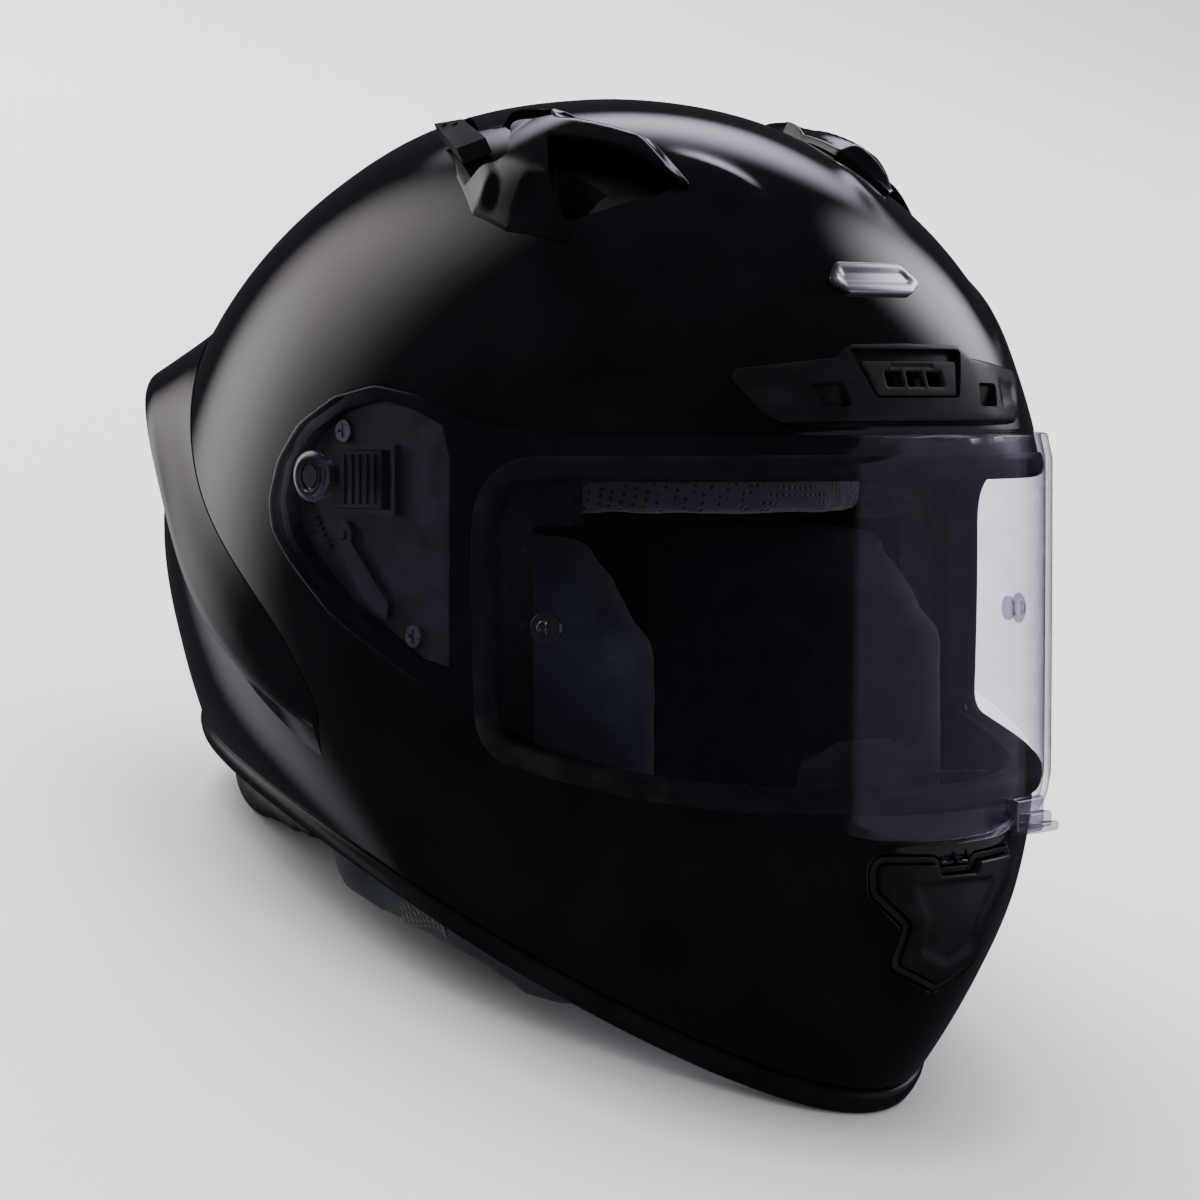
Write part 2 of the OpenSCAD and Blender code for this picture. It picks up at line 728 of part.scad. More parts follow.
module chin_grilles() {
    color([0.09, 0.09, 0.1]) place() for (side = [0, 1]) mirror([side, 0, 0])
        translate([-51, -114.5, -101]) rotate([0, 0, 30]) difference() {
            translate([-17, -2, -1]) cube([34, 12, 2.4]);
            for (k = [0:5]) translate([-14 + 5 * k, 0, -4]) cube([2.6, 8, 10]);
        }
}
module breath_deflector() {
    color([0.09, 0.09, 0.1]) place() moulded() difference() {
        intersection() {
            translate([0, 0, -118]) linear_extrude(34) offset(r = 20) square([160, 212], center = true);
            ahead() polygon([[-38, -118], [38, -118], [30, -92], [12, -86], [-12, -86], [-30, -92]]);
        }
        translate([0, 0, -130]) linear_extrude(60) offset(r = 20) square([157, 209], center = true);
    }
}
module front_badge() {
    color([0.75, 0.76, 0.78]) place() moulded() intersection() {
        skin_band(1.8, 0.2, 0.3, 0.42, 4, 120);
        ahead() offset(r = 2) polygon([[-20, 62], [-15, 60], [15, 60], [20, 62], [15, 67], [-15, 67]]);
    }
}

// Chin strap -------------------------------------------------------------------------------------
module webbing(path, wide, thick) {
    m = len(path) - 1;
    loft([for (i = [0:m])
        let (
            way = unit(path[min(i + 1, m)] - path[max(i - 1, 0)]),
            face = unit(cross(way, [0, -1, -strap_tilt])),
            edge = unit(cross(face, way))
        )
        [for (k = [[-1, -1], [-1, 1], [1, 1], [1, -1]])
            path[i] + k[0] * wide / 2 * edge + k[1] * thick / 2 * face]]);
}
// How much the webbing rises towards the back, so that it runs level with the ground at rest
strap_tilt = 0.22;
strap_width = 22;
strap_wall = 1.6;
STRAP_RIGHT = [
    [-91, -20, -30], [-91, -20, -60], [-91, -16, -100], [-91, -13, -130], [-91, -12, -150],
    [-83, -13, -152], [-70, -15, -153], [-58, -17, -153.5]
];
STRAP_LEFT = [
    [91, -20, -30], [91, -20, -60], [91, -16, -100], [91, -13, -130], [91, -12, -150],
    [83, -13, -152.5], [62, -15, -157], [34, -18, -160], [4, -19, -161.5], [-24, -18, -162.2],
    [-42, -17, -163], [-51.5, -17, -162], [-51.5, -17, -149]
];
function smooth(list, count) = [for (i = [0:count]) spline(list, i / count)];
module strap_right() {
    color([0.05, 0.05, 0.055]) place() moulded() difference() {
        union() {
            webbing(smooth(STRAP_RIGHT, 24), strap_width, strap_wall);
            hull() for (k = [0, 1]) ring_place(k) ring_bar(ring_wire + 1.6, strap_width);
        }
        for (k = [0, 1]) ring_place(k) ring_bar(ring_wire + 0.2, 60);
    }
}
module strap_left() {
    color([0.05, 0.05, 0.055]) place() moulded() webbing(smooth(STRAP_LEFT, 34), strap_width, strap_wall);
}
module strap_anchors() {
    color([0.5, 0.5, 0.52]) place() for (side = [0, 1]) mirror([side, 0, 0])
        translate([0, -anchor_spot[0], anchor_spot[1]]) {
            on_right(92.2, pocket_face - 0.2) circle(3);
            on_right(pocket_face - 1.3, pocket_face - 0.2) circle(5.4);
            on_right(92.2, 94) circle(8);
        }
}
// Double-D rings: each is a straight bar, two short legs and an arc, stacked face to face.
ring_wire = 1.9;
ring_reach = 14;
ring_leg = 6;
module ring_place(k) {
    translate([-58 - 2 * k, -17, -153.5 - 4.2 * k])
        rotate([atan(strap_tilt), 0, 0]) rotate([0, 0, -90]) children();
}
module ring_bar(r, length) {
    rotate([0, 90, 0]) cylinder(h = length, r = r, center = true, $fn = 24);
}
module d_ring() {
    ring_bar(ring_wire, 2 * ring_reach);
    for (x = [-ring_reach, ring_reach]) translate([x, 0, 0]) {
        sphere(ring_wire, $fn = 24);
        rotate([-90, 0, 0]) cylinder(h = ring_leg, r = ring_wire, $fn = 24);
    }
    translate([0, ring_leg, 0]) rotate_extrude(angle = 180, $fn = 48)
        translate([ring_reach, 0]) circle(ring_wire, $fn = 24);
}
module d_rings() {
    color([0.6, 0.6, 0.62]) place() for (k = [0, 1]) ring_place(k) d_ring();
}
module strap_snap() {
    color([0.6, 0.1, 0.1]) place() translate([8, -20, -159.2]) rotate([atan(strap_tilt), 0, 0]) {
        cylinder(h = 2.2, r = 6);
        translate([0, 0, 2]) cylinder(h = 1, r = 3.4);
    }
}

shell();
rear_spoiler();
rear_vent_cover();
base_trim();
eyeport_seal();
eps_crown();
eps_chin();
crown_liner();
brow_pad();
cheek_pad_right();
cheek_pad_left();
neck_roll();
visor_panel();
pivot_ring_right();
pivot_ring_left();
visor_pins();
visor_lock_tab();
visor_latch();
side_plate_right();
side_plate_left();
side_screws();
visor_release_right();
visor_release_left();
detent_arm_right();
detent_arm_left();
brow_vent_housing();
brow_vent_slider();
top_vent_cowl_right();
top_vent_cowl_left();
top_vent_slider_right();
top_vent_slider_left();
chin_vent_frame();
chin_vent_flap();
chin_grilles();
breath_deflector();
front_badge();
strap_right();
strap_left();
strap_anchors();
d_rings();
strap_snap();
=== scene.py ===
"""Looks of a full-face motorcycle helmet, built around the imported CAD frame."""
import json
import math

import bmesh
import bpy
import numpy as np
from mathutils import Matrix, Vector
from mathutils.geometry import delaunay_2d_cdt


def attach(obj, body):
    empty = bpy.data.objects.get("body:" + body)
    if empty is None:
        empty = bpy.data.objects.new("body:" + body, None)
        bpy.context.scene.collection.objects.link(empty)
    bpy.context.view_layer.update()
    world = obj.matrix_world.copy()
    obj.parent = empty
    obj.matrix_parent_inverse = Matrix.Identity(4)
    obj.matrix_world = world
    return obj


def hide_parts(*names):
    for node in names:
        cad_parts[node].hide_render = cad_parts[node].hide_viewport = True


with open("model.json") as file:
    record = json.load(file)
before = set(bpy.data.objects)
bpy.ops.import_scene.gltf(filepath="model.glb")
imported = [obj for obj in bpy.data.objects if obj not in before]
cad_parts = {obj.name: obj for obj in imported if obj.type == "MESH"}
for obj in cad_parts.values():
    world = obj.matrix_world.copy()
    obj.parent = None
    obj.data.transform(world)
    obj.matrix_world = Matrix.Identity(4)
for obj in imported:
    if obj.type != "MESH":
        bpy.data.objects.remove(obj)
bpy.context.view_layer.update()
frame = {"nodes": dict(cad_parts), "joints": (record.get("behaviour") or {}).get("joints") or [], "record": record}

# Places -----------------------------------------------------------------------------------------
# The sculpting is done in the upright frame: millimetres, x towards the wearer's left, y towards the
# back, z up, from the visor's pivot axis. The record's visor hinge says where that axis lies at rest.
JOINTS = {joint["name"]: joint for joint in frame["joints"]}
PIVOT = np.array(JOINTS["visor_hinge"]["pos_m"])
LEAN = math.radians(20)
TURN = np.array([
    [1, 0, 0],
    [0, math.cos(LEAN), math.sin(LEAN)],
    [0, -math.sin(LEAN), math.cos(LEAN)],
])


def place(points):
    """Upright millimetres to row-frame metres."""
    return np.asarray(points, float) @ TURN.T * 0.001 + PIVOT


def unplace(points):
    """Row-frame metres to upright millimetres."""
    return (np.asarray(points, float) - PIVOT) @ TURN * 1000


# Sculpted surface -------------------------------------------------------------------------------
# One row per level from the crown to the rim, as in the CAD model: the front's reach and height, the
# rear's reach and height, the side's width, reach and height, squareness and flatness front and rear.
LEVELS = np.array([
    [0, 127, 0, 127, 0, 0, 127, 0, 0, 0, 0],
    [38, 127, -36, 126, 45, 0, 125, 0, 0, 0, 0],
    [82, 113, -76, 106, 87, 0, 103, 0.01, 0.01, 0.02, 0],
    [128, 74, -122, 70, 116, 0, 62, 0.02, 0.02, 0.05, 0],
    [151, 18, -150, 26, 127, 0, 12, 0.04, 0.03, 0.06, 0.01],
    [157, -50, -158, -20, 129, 0, -36, 0.06, 0.02, 0.03, 0.02],
    [166, -108, -151, -50, 125, 0, -78, 0.06, 0.01, -0.05, 0.02],
    [168, -160, -152, -70, 115, 0, -110, 0.05, 0.02, -0.14, 0.02],
    [128, -208, -157, -88, 102, 4, -133, 0.02, 0.03, -0.20, 0.04],
])


def chunks(count, size):
    """Slices that take a long table a part at a time."""
    return [slice(i, i + size) for i in range(0, count, size)]


def spline(rows, u):
    """Clamped cubic B-spline through rows of control values, for an array of u from 0 to 1."""
    rows = np.asarray(rows, float)
    m = len(rows)
    u = np.clip(np.asarray(u, float).ravel(), 0, 1 - 1e-9)
    knots = np.clip((np.arange(m + 4) - 3) / (m - 3), 0, 1)
    basis = [((u >= knots[i]) & (u < knots[i + 1])).astype(float) for i in range(m + 3)]
    for k in (1, 2, 3):
        after = []
        for i in range(m + 3 - k):
            left, right = knots[i + k] - knots[i], knots[i + k + 1] - knots[i + 1]
            value = np.zeros_like(u)
            if left > 0:
                value += (u - knots[i]) / left * basis[i]
            if right > 0:
                value += (knots[i + k + 1] - u) / right * basis[i + 1]
            after.append(value)
        basis = after
    return np.stack(basis[:m], 1) @ rows


def base(u, a):
    """Surface point at level u and angle a, in degrees from the front towards the wearer's left."""
    (front, front_z, rear, rear_z, width, side, side_z, square_front, square_rear, flat_front,
     flat_rear) = spline(LEVELS, u).T
    a = np.radians(np.asarray(a, float).ravel())
    c = np.cos(a)
    square = (square_front * (1 + c) + square_rear * (1 - c)) / 2
    flat = (flat_front * (1 + c) + flat_rear * (1 - c)) / 2
    wave = (c - flat * np.cos(3 * a)) / (1 - flat)
    x = width * (np.sin(a) + square * np.sin(3 * a)) / (1 - square)
    reach = side + (front - rear) / 2 * wave + ((front + rear) / 2 - side) * c * c
    z = side_z + (front_z - rear_z) / 2 * wave + ((front_z + rear_z) / 2 - side_z) * c * c
    return np.stack([x, -reach, z], 1)


def unit(v):
    """Vectors at length 1."""
    return v / np.maximum(np.linalg.norm(v, axis=-1, keepdims=True), 1e-12)


def normal(u, a):
    """Outward direction of the sculpted surface."""
    u = np.asarray(u, float).ravel()
    a = np.asarray(a, float).ravel()
    down = base(np.minimum(u + 0.004, 1), a) - base(np.maximum(u - 0.004, 0.001), a)
    across = base(np.maximum(u, 0.004), a + 1) - base(np.maximum(u, 0.004), a - 1)
    return unit(np.cross(down, across))


def skin(u, a, d=0.0):
    """Point at height d over the sculpted surface."""
    return base(u, a) + normal(u, a) * np.reshape(d, (-1, 1))


# A table of the left half, to find the level and angle of a spot seen from the side, front or top.
TABLE_U, TABLE_A = (v.ravel() for v in np.meshgrid(np.linspace(0.004, 1, 150), np.linspace(0, 180, 181)))
TABLE_P = base(TABLE_U, TABLE_A)
VIEWS = {"side": (1, 2), "front": (0, 2), "back": (0, 2), "top": (0, 1)}


def find(points, view):
    """Levels and angles on the left half of spots seen in a view: side, front, back or top."""
    points = np.asarray(points, float)
    axes = VIEWS[view]
    keep = {
        "side": TABLE_U > 0, "front": TABLE_P[:, 1] < 0, "back": TABLE_P[:, 1] > 0, "top": TABLE_U < 0.55
    }[view]
    table, tu, ta = TABLE_P[keep][:, axes], TABLE_U[keep], TABLE_A[keep]
    u = np.empty(len(points))
    a = np.empty(len(points))
    for part in chunks(len(points), 400):
        nearest = ((points[part, None] - table[None]) ** 2).sum(2).argmin(1)
        u[part], a[part] = tu[nearest], ta[nearest]
    for _ in range(8):
        here = base(u, a)[:, axes]
        du = (base(np.minimum(u + 1e-4, 1), a)[:, axes] - here) / 1e-4
        da = (base(u, a + 0.01)[:, axes] - here) / 0.01
        miss = points - here
        det = du[:, 0] * da[:, 1] - du[:, 1] * da[:, 0]
        det = np.where(np.abs(det) < 1e-6, 1e-6, det)
        step_u = (miss[:, 0] * da[:, 1] - miss[:, 1] * da[:, 0]) / det
        step_a = (du[:, 0] * miss[:, 1] - du[:, 1] * miss[:, 0]) / det
        u = np.clip(u + np.clip(step_u, -0.02, 0.02), 0.001, 0.999)
        a = np.clip(a + np.clip(step_a, -4, 4), 0, 180)
    return u, a


# Outlines and meshes ----------------------------------------------------------------------------
def arc_corners(points, steps=7):
    """Closed outline of (x, y) or (x, y, radius) corners, with the corners that have a radius rounded."""
    count = len(points)
    out = []
    for i, corner in enumerate(points):
        p = np.array(corner[:2], float)
        radius = corner[2] if len(corner) > 2 else 0
        if radius <= 0:
            out.append(p)
            continue
        before = np.array(points[i - 1][:2], float) - p
        after = np.array(points[(i + 1) % count][:2], float) - p
        e, f = unit(before), unit(after)
        half = math.acos(max(-1, min(1, float(e @ f)))) / 2
        reach = min(radius / math.tan(half), 0.48 * np.linalg.norm(before), 0.48 * np.linalg.norm(after))
        for k in range(steps + 1):
            t = k / steps
            out.append((1 - t) ** 2 * (p + e * reach) + 2 * t * (1 - t) * p + t * t * (p + f * reach))
    return np.array(out)


def resampled(points, step, closed=True):
    """The same line with points every step or less."""
    points = np.asarray(points, float)
    ends = np.roll(points, -1, 0) if closed else points[1:]
    out = []
    for p, q in zip(points, ends):
        parts = max(1, int(math.ceil(np.linalg.norm(q - p) / step)))
        out += [p + (q - p) * k / parts for k in range(parts)]
    if not closed:
        out.append(points[-1])
    return np.array(out)


def distance(points, line, closed=True):
    """Distance from each point to a line of points, in two or three dimensions."""
    line = np.asarray(line, float)
    p, q = (line, np.roll(line, -1, 0)) if closed else (line[:-1], line[1:])
    out = np.empty(len(points))
    span = q - p
    length = np.maximum((span ** 2).sum(1), 1e-12)
    for part in chunks(len(points), 3000):
        to = points[part, None] - p
        t = np.clip((to * span).sum(2) / length, 0, 1)
        out[part] = np.sqrt(((to - t[..., None] * span) ** 2).sum(2).min(1))
    return out


def inside(points, loop):
    """Whether each point lies inside a closed loop."""
    x, y = points[:, 0][:, None], points[:, 1][:, None]
    out = np.empty(len(points), bool)
    x0, y0 = loop[:, 0], loop[:, 1]
    x1, y1 = np.roll(x0, -1), np.roll(y0, -1)
    rise = np.where(np.abs(y1 - y0) < 1e-12, 1e-12, y1 - y0)
    for s in chunks(len(points), 3000):
        cross = ((y0 <= y[s]) != (y1 <= y[s])) & (x[s] < x0 + (y[s] - y0) / rise * (x1 - x0))
        out[s] = cross.sum(1) % 2 == 1
    return out


def depth_in(points, loop):
    """Distance to a closed loop, positive inside it."""
    return np.where(inside(points, loop), 1, -1) * distance(points, loop)


def run_along(line):
    """Length of a line up to each of its points."""
    return np.concatenate([[0], np.cumsum(np.linalg.norm(np.diff(line, axis=0), axis=1))])


def direction(loop):
    """1 for a loop that runs counter-clockwise, -1 for a clockwise one."""
    x, y = loop.T
    return 1 if (x * np.roll(y, -1) - np.roll(x, -1) * y).sum() > 0 else -1


def inset(loop, d):
    """A closed loop moved inwards by d (outwards where d is negative)."""
    along = unit(np.roll(loop, -1, 0) - np.roll(loop, 1, 0))
    inward = np.stack([-along[:, 1], along[:, 0]], 1) * direction(loop)
    return loop + inward * d


def triangles(outline, holes=(), lines=(), spacing=2.0, keep_off=0.55):
    """Triangles of a flat region: its outline, holes, and lines that its edges follow."""
    chains = [(outline, True)] + [(h, True) for h in holes] + list(lines)
    edges = []
    points = []
    start = 0
    for chain, closed in chains:
        n = len(chain)
        edges += [(start + i, start + (i + 1) % n) for i in range(n if closed else n - 1)]
        points.append(chain)
        start += n
    fixed = np.concatenate(points)
    low, high = outline.min(0), outline.max(0)
    rows = np.arange(low[1], high[1] + spacing, spacing * 0.866)
    cols = np.arange(low[0], high[0] + spacing, spacing)
    gx, gy = np.meshgrid(cols, rows)
    gx = gx + np.where(np.arange(len(rows)) % 2, spacing / 2, 0)[:, None]
    grid = np.stack([gx.ravel(), gy.ravel()], 1)
    grid = grid[inside(grid, outline)]
    near = np.ones(len(grid), bool)
    for part in chunks(len(grid), 1500):
        near[part] = ((grid[part, None] - fixed[None]) ** 2).sum(2).min(1) < (spacing * keep_off) ** 2
    grid = grid[~near]
    everything = np.concatenate([fixed, grid])
    verts, _, faces = delaunay_2d_cdt([Vector(p) for p in everything], edges, [], 0, 1e-5, False)[:3]
    verts = np.array([tuple(v) for v in verts])
    faces = np.array([f for f in faces if len(f) == 3])
    middle = verts[faces].mean(1)
    good = inside(middle, outline)
    for hole in holes:
        good &= ~inside(middle, hole)
    faces = faces[good]
    tri = verts[faces]
    area = np.cross(tri[:, 1] - tri[:, 0], tri[:, 2] - tri[:, 0])
    faces = np.where((area < 0)[:, None], faces[:, [0, 2, 1]], faces)
    used, index = np.unique(faces, return_inverse=True)
    return verts[used], index.reshape(-1, 3)


def rim_edges(faces):
    """Edges that belong to one face only, in that face's direction."""
    directed = np.concatenate([faces[:, [0, 1]], faces[:, [1, 2]], faces[:, [2, 0]]])
    key = np.sort(directed, 1)
    _, index, count = np.unique(key, axis=0, return_inverse=True, return_counts=True)
    return directed[count[index.ravel()] == 1]


def slab(top, bottom, faces):
    """Closed solid between two skins with the same triangles."""
    n = len(top)
    edges = rim_edges(faces)
    sides = np.concatenate([
        np.stack([edges[:, 1], edges[:, 0], edges[:, 0] + n], 1),
        np.stack([edges[:, 1], edges[:, 0] + n, edges[:, 1] + n], 1),
    ])
    return np.concatenate([top, bottom]), np.concatenate([faces, faces[:, ::-1] + n, sides])


def made(name, points, faces, material, node, slot, body="helmet", smooth=30, upright=True):
    """A mesh piece from points and faces, riding on a body and standing for a CAD node."""
    mesh = bpy.data.meshes.new(name)
    where = place(points) if upright else np.asarray(points, float)
    mesh.from_pydata([tuple(p) for p in where], [], [tuple(int(i) for i in f) for f in faces])
    mesh.validate()
    piece = bpy.data.objects.new(name, mesh)
    bpy.context.scene.collection.objects.link(piece)
    finished(piece, material, node, body, smooth)


def finished(piece, material, node, body, smooth):
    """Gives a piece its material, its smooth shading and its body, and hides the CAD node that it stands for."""
    mesh = piece.data
    mesh.materials.clear()
    mesh.materials.append(material)
    mesh.polygons.foreach_set("use_smooth", [True] * len(mesh.polygons))
    bm = bmesh.new()
    bm.from_mesh(mesh)
    bmesh.ops.remove_doubles(bm, verts=bm.verts, dist=1e-6)
    bmesh.ops.recalc_face_normals(bm, faces=bm.faces)
    for edge in bm.edges:
        edge.smooth = len(edge.link_faces) == 2 and edge.calc_face_angle(0) < math.radians(smooth)
    bm.to_mesh(mesh)
    bm.free()
    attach(piece, body)
    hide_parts(node)


def mirrored(points, faces):
    """The other side's copy."""
    return points * [-1, 1, 1], np.asarray(faces)[:, ::-1]


def made_pair(name, points, faces, material, node, slot, body="helmet"):
    """A left-hand piece and its mirror image."""
    made(name + "_left", points, faces, material, node + "_left", slot, body)
    made(name + "_right", *mirrored(points, faces), material, node + "_right", slot, body)


def both(points, faces):
    """A left-hand part and its mirror image as one."""
    other, back = mirrored(points, faces)
    return np.concatenate([points, other]), np.concatenate([faces, back + len(points)])


# Shell ------------------------------------------------------------------------------------------
# The shell is sculpted on a flat map of its left half: across, the angle times the mean radius of its
# level, and down, the mean length of the surface from the crown. Both are millimetres.
MAP_U = np.linspace(0, 1, 241)
AROUND = np.linspace(0, 360, 73)[:-1]
RINGS = np.stack([base(MAP_U, np.full(241, a)) for a in AROUND], 1)
MAP_W = np.linalg.norm(np.roll(RINGS, -1, 1) - RINGS, axis=2).sum(1) / (2 * math.pi)
MAP_L = np.concatenate([[0], np.cumsum(np.linalg.norm(np.diff(RINGS, axis=0), axis=2).mean(1))])


def to_map(u, a):
    """Map points of levels and angles."""
    return np.stack([np.radians(a) * np.interp(u, MAP_U, MAP_W), np.interp(u, MAP_U, MAP_L)], 1)


def from_map(points):
    """Levels and angles of map points."""
    u = np.interp(points[:, 1], MAP_L, MAP_U)
    return u, np.clip(np.degrees(points[:, 0] / np.maximum(np.interp(u, MAP_U, MAP_W), 1e-6)), -30, 180)


def level_at(z, a):
    """Level at which the surface has height z, at angle a."""
    low, high = np.full(len(z), 0.01), np.ones(len(z))
    for _ in range(40):
        middle = (low + high) / 2
        above = base(middle, a)[:, 2] > z
        low, high = np.where(above, middle, low), np.where(above, high, middle)
    return (low + high) / 2


SIDE_STEP = 1.6


def side_line(points):
    """Map line of an outline in side view (forward, up) that starts and ends at the front's middle."""
    points = np.asarray(points, float)
    dense = resampled(points, SIDE_STEP, closed=False)
    u, a = find(dense * [-1, 1], "side")
    good = np.flatnonzero(a > 9)
    first, last = good[0], good[-1]
    u, a = u[first:last + 1], a[first:last + 1]
    heights = dense[first, 1], dense[last, 1]
    a0 = np.linspace(0, a[0], 15)[:-1]
    z0 = points[0, 1] + (heights[0] - points[0, 1]) * a0 / a[0]
    a1 = np.linspace(a[-1], 0, 15)[1:]
    z1 = points[-1, 1] + (heights[1] - points[-1, 1]) * a1 / a[-1]
    return np.concatenate([to_map(level_at(z0, a0), a0), to_map(u, a), to_map(level_at(z1, a1), a1)])


def side_loop(points):
    """Map loop of a closed outline in side view."""
    return to_map(*find(resampled(points, SIDE_STEP) * [-1, 1], "side"))


BEYOND = 12  # how far past the middle a loop is closed, so that its depth there is right


def closed_at_front(line):
    """A map line from the middle to the middle, closed beyond the middle."""
    return np.concatenate([line, [[-BEYOND, line[-1, 1]], [-BEYOND, line[0, 1]]]])


def seam_level(a):
    """Level of the seam between the shell and its base trim."""
    return 0.978 + 0.012 * np.cos(np.radians(a))


EYEPORT = arc_corners([
    (160, 2), (72, 2, 20), (72, -84, 22), (90, -89, 10), (120, -96, 30), (166, -103.2)
])
VISOR_EDGE = arc_corners([
    (160, 13.5), (95, 14, 30), (72, 17, 20), (58, 21, 14), (45, 26.5, 12), (28, 29.5, 14), (10, 26, 12),
    (-7, 17, 12), (-17, 5, 10), (-21, -8, 10), (-19, -18, 10), (-10, -28, 14), (10, -45, 20),
    (35, -59, 30), (60, -73, 30), (76, -78, 30), (107, -89, 60), (150, -111, 30), (164, -117, 20),
    (168, -117)
])
PLATE = [
    (-15, -8), (-12, 4), (-3, 13), (11, 21), (28, 24), (42, 21), (54, 16), (57, 6), (57, -60), (46, -58),
    (33, -51), (11, -39), (-5, -26), (-12, -18)
]
POCKET_FLOOR = 118.5
VISOR_WIDTH, VISOR_REACH, VISOR_WALL = 260, 163, 2.2
REBATE = 4
eye_line = side_line(EYEPORT)
rebate_line = side_line(VISOR_EDGE)
pocket_loop = inset(side_loop(arc_corners([(*p, 5) for p in PLATE])), -1.0)


def visor_point(a, z, d=0.0):
    """Point at angle a and height z, at distance d over the visor's outer face."""
    a = np.radians(np.asarray(a, float))
    z = np.asarray(z, float)
    s = (np.sin(a) + 0.03 * np.sin(3 * a)) / 0.97
    c = (np.cos(a) - 0.02 * np.cos(3 * a)) / 0.98
    barrel = 0.0008 * (z + 25) ** 2 * np.sin(a) ** 4
    return np.stack([s * (VISOR_WIDTH / 2 + d - barrel), -c * (VISOR_REACH + d), z + 0 * a], -1)


def visor_offset(points):
    """How far points lie outside the visor's outer face (negative inside it)."""
    a = np.degrees(np.arctan2(points[:, 0] / VISOR_WIDTH * 2, -points[:, 1] / VISOR_REACH))
    d = np.zeros(len(points))
    for _ in range(6):
        here = visor_point(a, points[:, 2], d)[:, :2]
        along = (visor_point(a + 0.1, points[:, 2], d)[:, :2] - here) / 0.1
        out = visor_point(a, points[:, 2], d + 1)[:, :2] - here
        miss = points[:, :2] - here
        det = along[:, 0] * out[:, 1] - along[:, 1] * out[:, 0]
        a = a + (miss[:, 0] * out[:, 1] - miss[:, 1] * out[:, 0]) / det
        d = d + (along[:, 0] * miss[:, 1] - along[:, 1] * miss[:, 0]) / det
    return d


FILLET, STEP_WALL = 0.8, 0.5


def shoulder(s, depth):
    """Depth at a distance s inside a step's edge: a rounded shoulder, then a wall."""
    t = np.clip((s + FILLET) / FILLET, 0, 1)
    round_part = FILLET * (1 - np.sqrt(np.maximum(1 - t * t, 0)))
    fall = round_part + np.clip(s / STEP_WALL, 0, 1) * np.maximum(depth - FILLET, 0)
    return np.minimum(fall, depth)


def quarter_round(s, reach, drop):
    """Fall of a rounded edge at distance s from it: all the drop at the edge, none beyond its reach."""
    return drop * (1 - np.sqrt(np.clip(1 - np.clip(1 - s / reach, 0, 1) ** 2, 0, 1)))


def smoothstep(x, low=0.0, high=1.0):
    """0 up to low, 1 from high on, and a smooth change between."""
    t = np.clip((x - low) / (high - low), 0, 1)
    return t * t * (3 - 2 * t)


def beside(points, line):
    """Signed distance from an open line (positive on its left) and the share of the way along it."""
    p, q = line[:-1], line[1:]
    span = q - p
    length = np.maximum((span ** 2).sum(1), 1e-12)
    before = np.concatenate([[0], np.cumsum(np.sqrt(length))])
    best = np.full(len(points), 1e9)
    share = np.zeros(len(points))
    side = np.zeros(len(points))
    for k in range(len(p)):
        to = points - p[k]
        t = np.clip((to @ span[k]) / length[k], 0, 1)
        off = to - t[:, None] * span[k]
        d = np.sqrt((off ** 2).sum(1))
        closer = d < best
        best = np.where(closer, d, best)
        turn = span[k][0] * to[:, 1] - span[k][1] * to[:, 0]
        side = np.where(closer, np.sign(turn), side)
        share = np.where(closer, (before[k] + t * math.sqrt(length[k])) / before[-1], share)
    return best * side, share


# Materials --------------------------------------------------------------------------------------
def feed(tree, node, values):
    """Sets inputs of a node: an output is linked to its input, anything else becomes its value."""
    for key, value in values.items():
        if isinstance(value, bpy.types.NodeSocket):
            tree.links.new(value, node.inputs[key])
        else:
            node.inputs[key].default_value = value


def added(tree, kind, values, **settings):
    """A new shader node with its inputs and settings."""
    node = tree.nodes.new("ShaderNode" + kind)
    for key, value in settings.items():
        setattr(node, key, value)
    feed(tree, node, values)
    return node


def nodes_for(name):
    """A new material, its node tree and shader, and the object coordinates for its textures."""
    made_of = bpy.data.materials.new(name)
    made_of.use_nodes = True
    tree = made_of.node_tree
    return made_of, tree, tree.nodes["Principled BSDF"], added(tree, "TexCoord", {}).outputs["Object"]


def noise(tree, where, scale, detail=4.0, stretch=None):
    if stretch is not None:
        where = added(tree, "Mapping", {"Vector": where, "Scale": stretch}).outputs["Vector"]
    return added(tree, "TexNoise", {"Vector": where, "Scale": scale, "Detail": detail}).outputs["Fac"]


def ranged(tree, value, low, high, start=0.3, stop=0.7):
    return added(tree, "MapRange", {
        "Value": value, "From Min": start, "From Max": stop, "To Min": low, "To Max": high
    }).outputs["Result"]


def calculated(tree, operation, first, second):
    return added(tree, "Math", {0: first, 1: second}, operation=operation).outputs["Value"]


def ramp(tree, value, low, high, start=0.35, stop=0.65):
    """Colour between low and high as the value goes from start to stop."""
    node = added(tree, "ValToRGB", {"Fac": value})
    for element, position, colour in zip(node.color_ramp.elements, (start, stop), (low, high)):
        element.position = position
        element.color = (*colour, 1)
    return node.outputs["Color"]


def bump(tree, shader, layers):
    """Chains bump nodes: layers of (height, distance in metres, strength)."""
    before = {}
    for height, depth, strength in layers:
        node = added(tree, "Bump", {"Height": height, "Distance": depth, "Strength": strength, **before})
        before = {"Normal": node.outputs["Normal"]}
    feed(tree, shader, before)


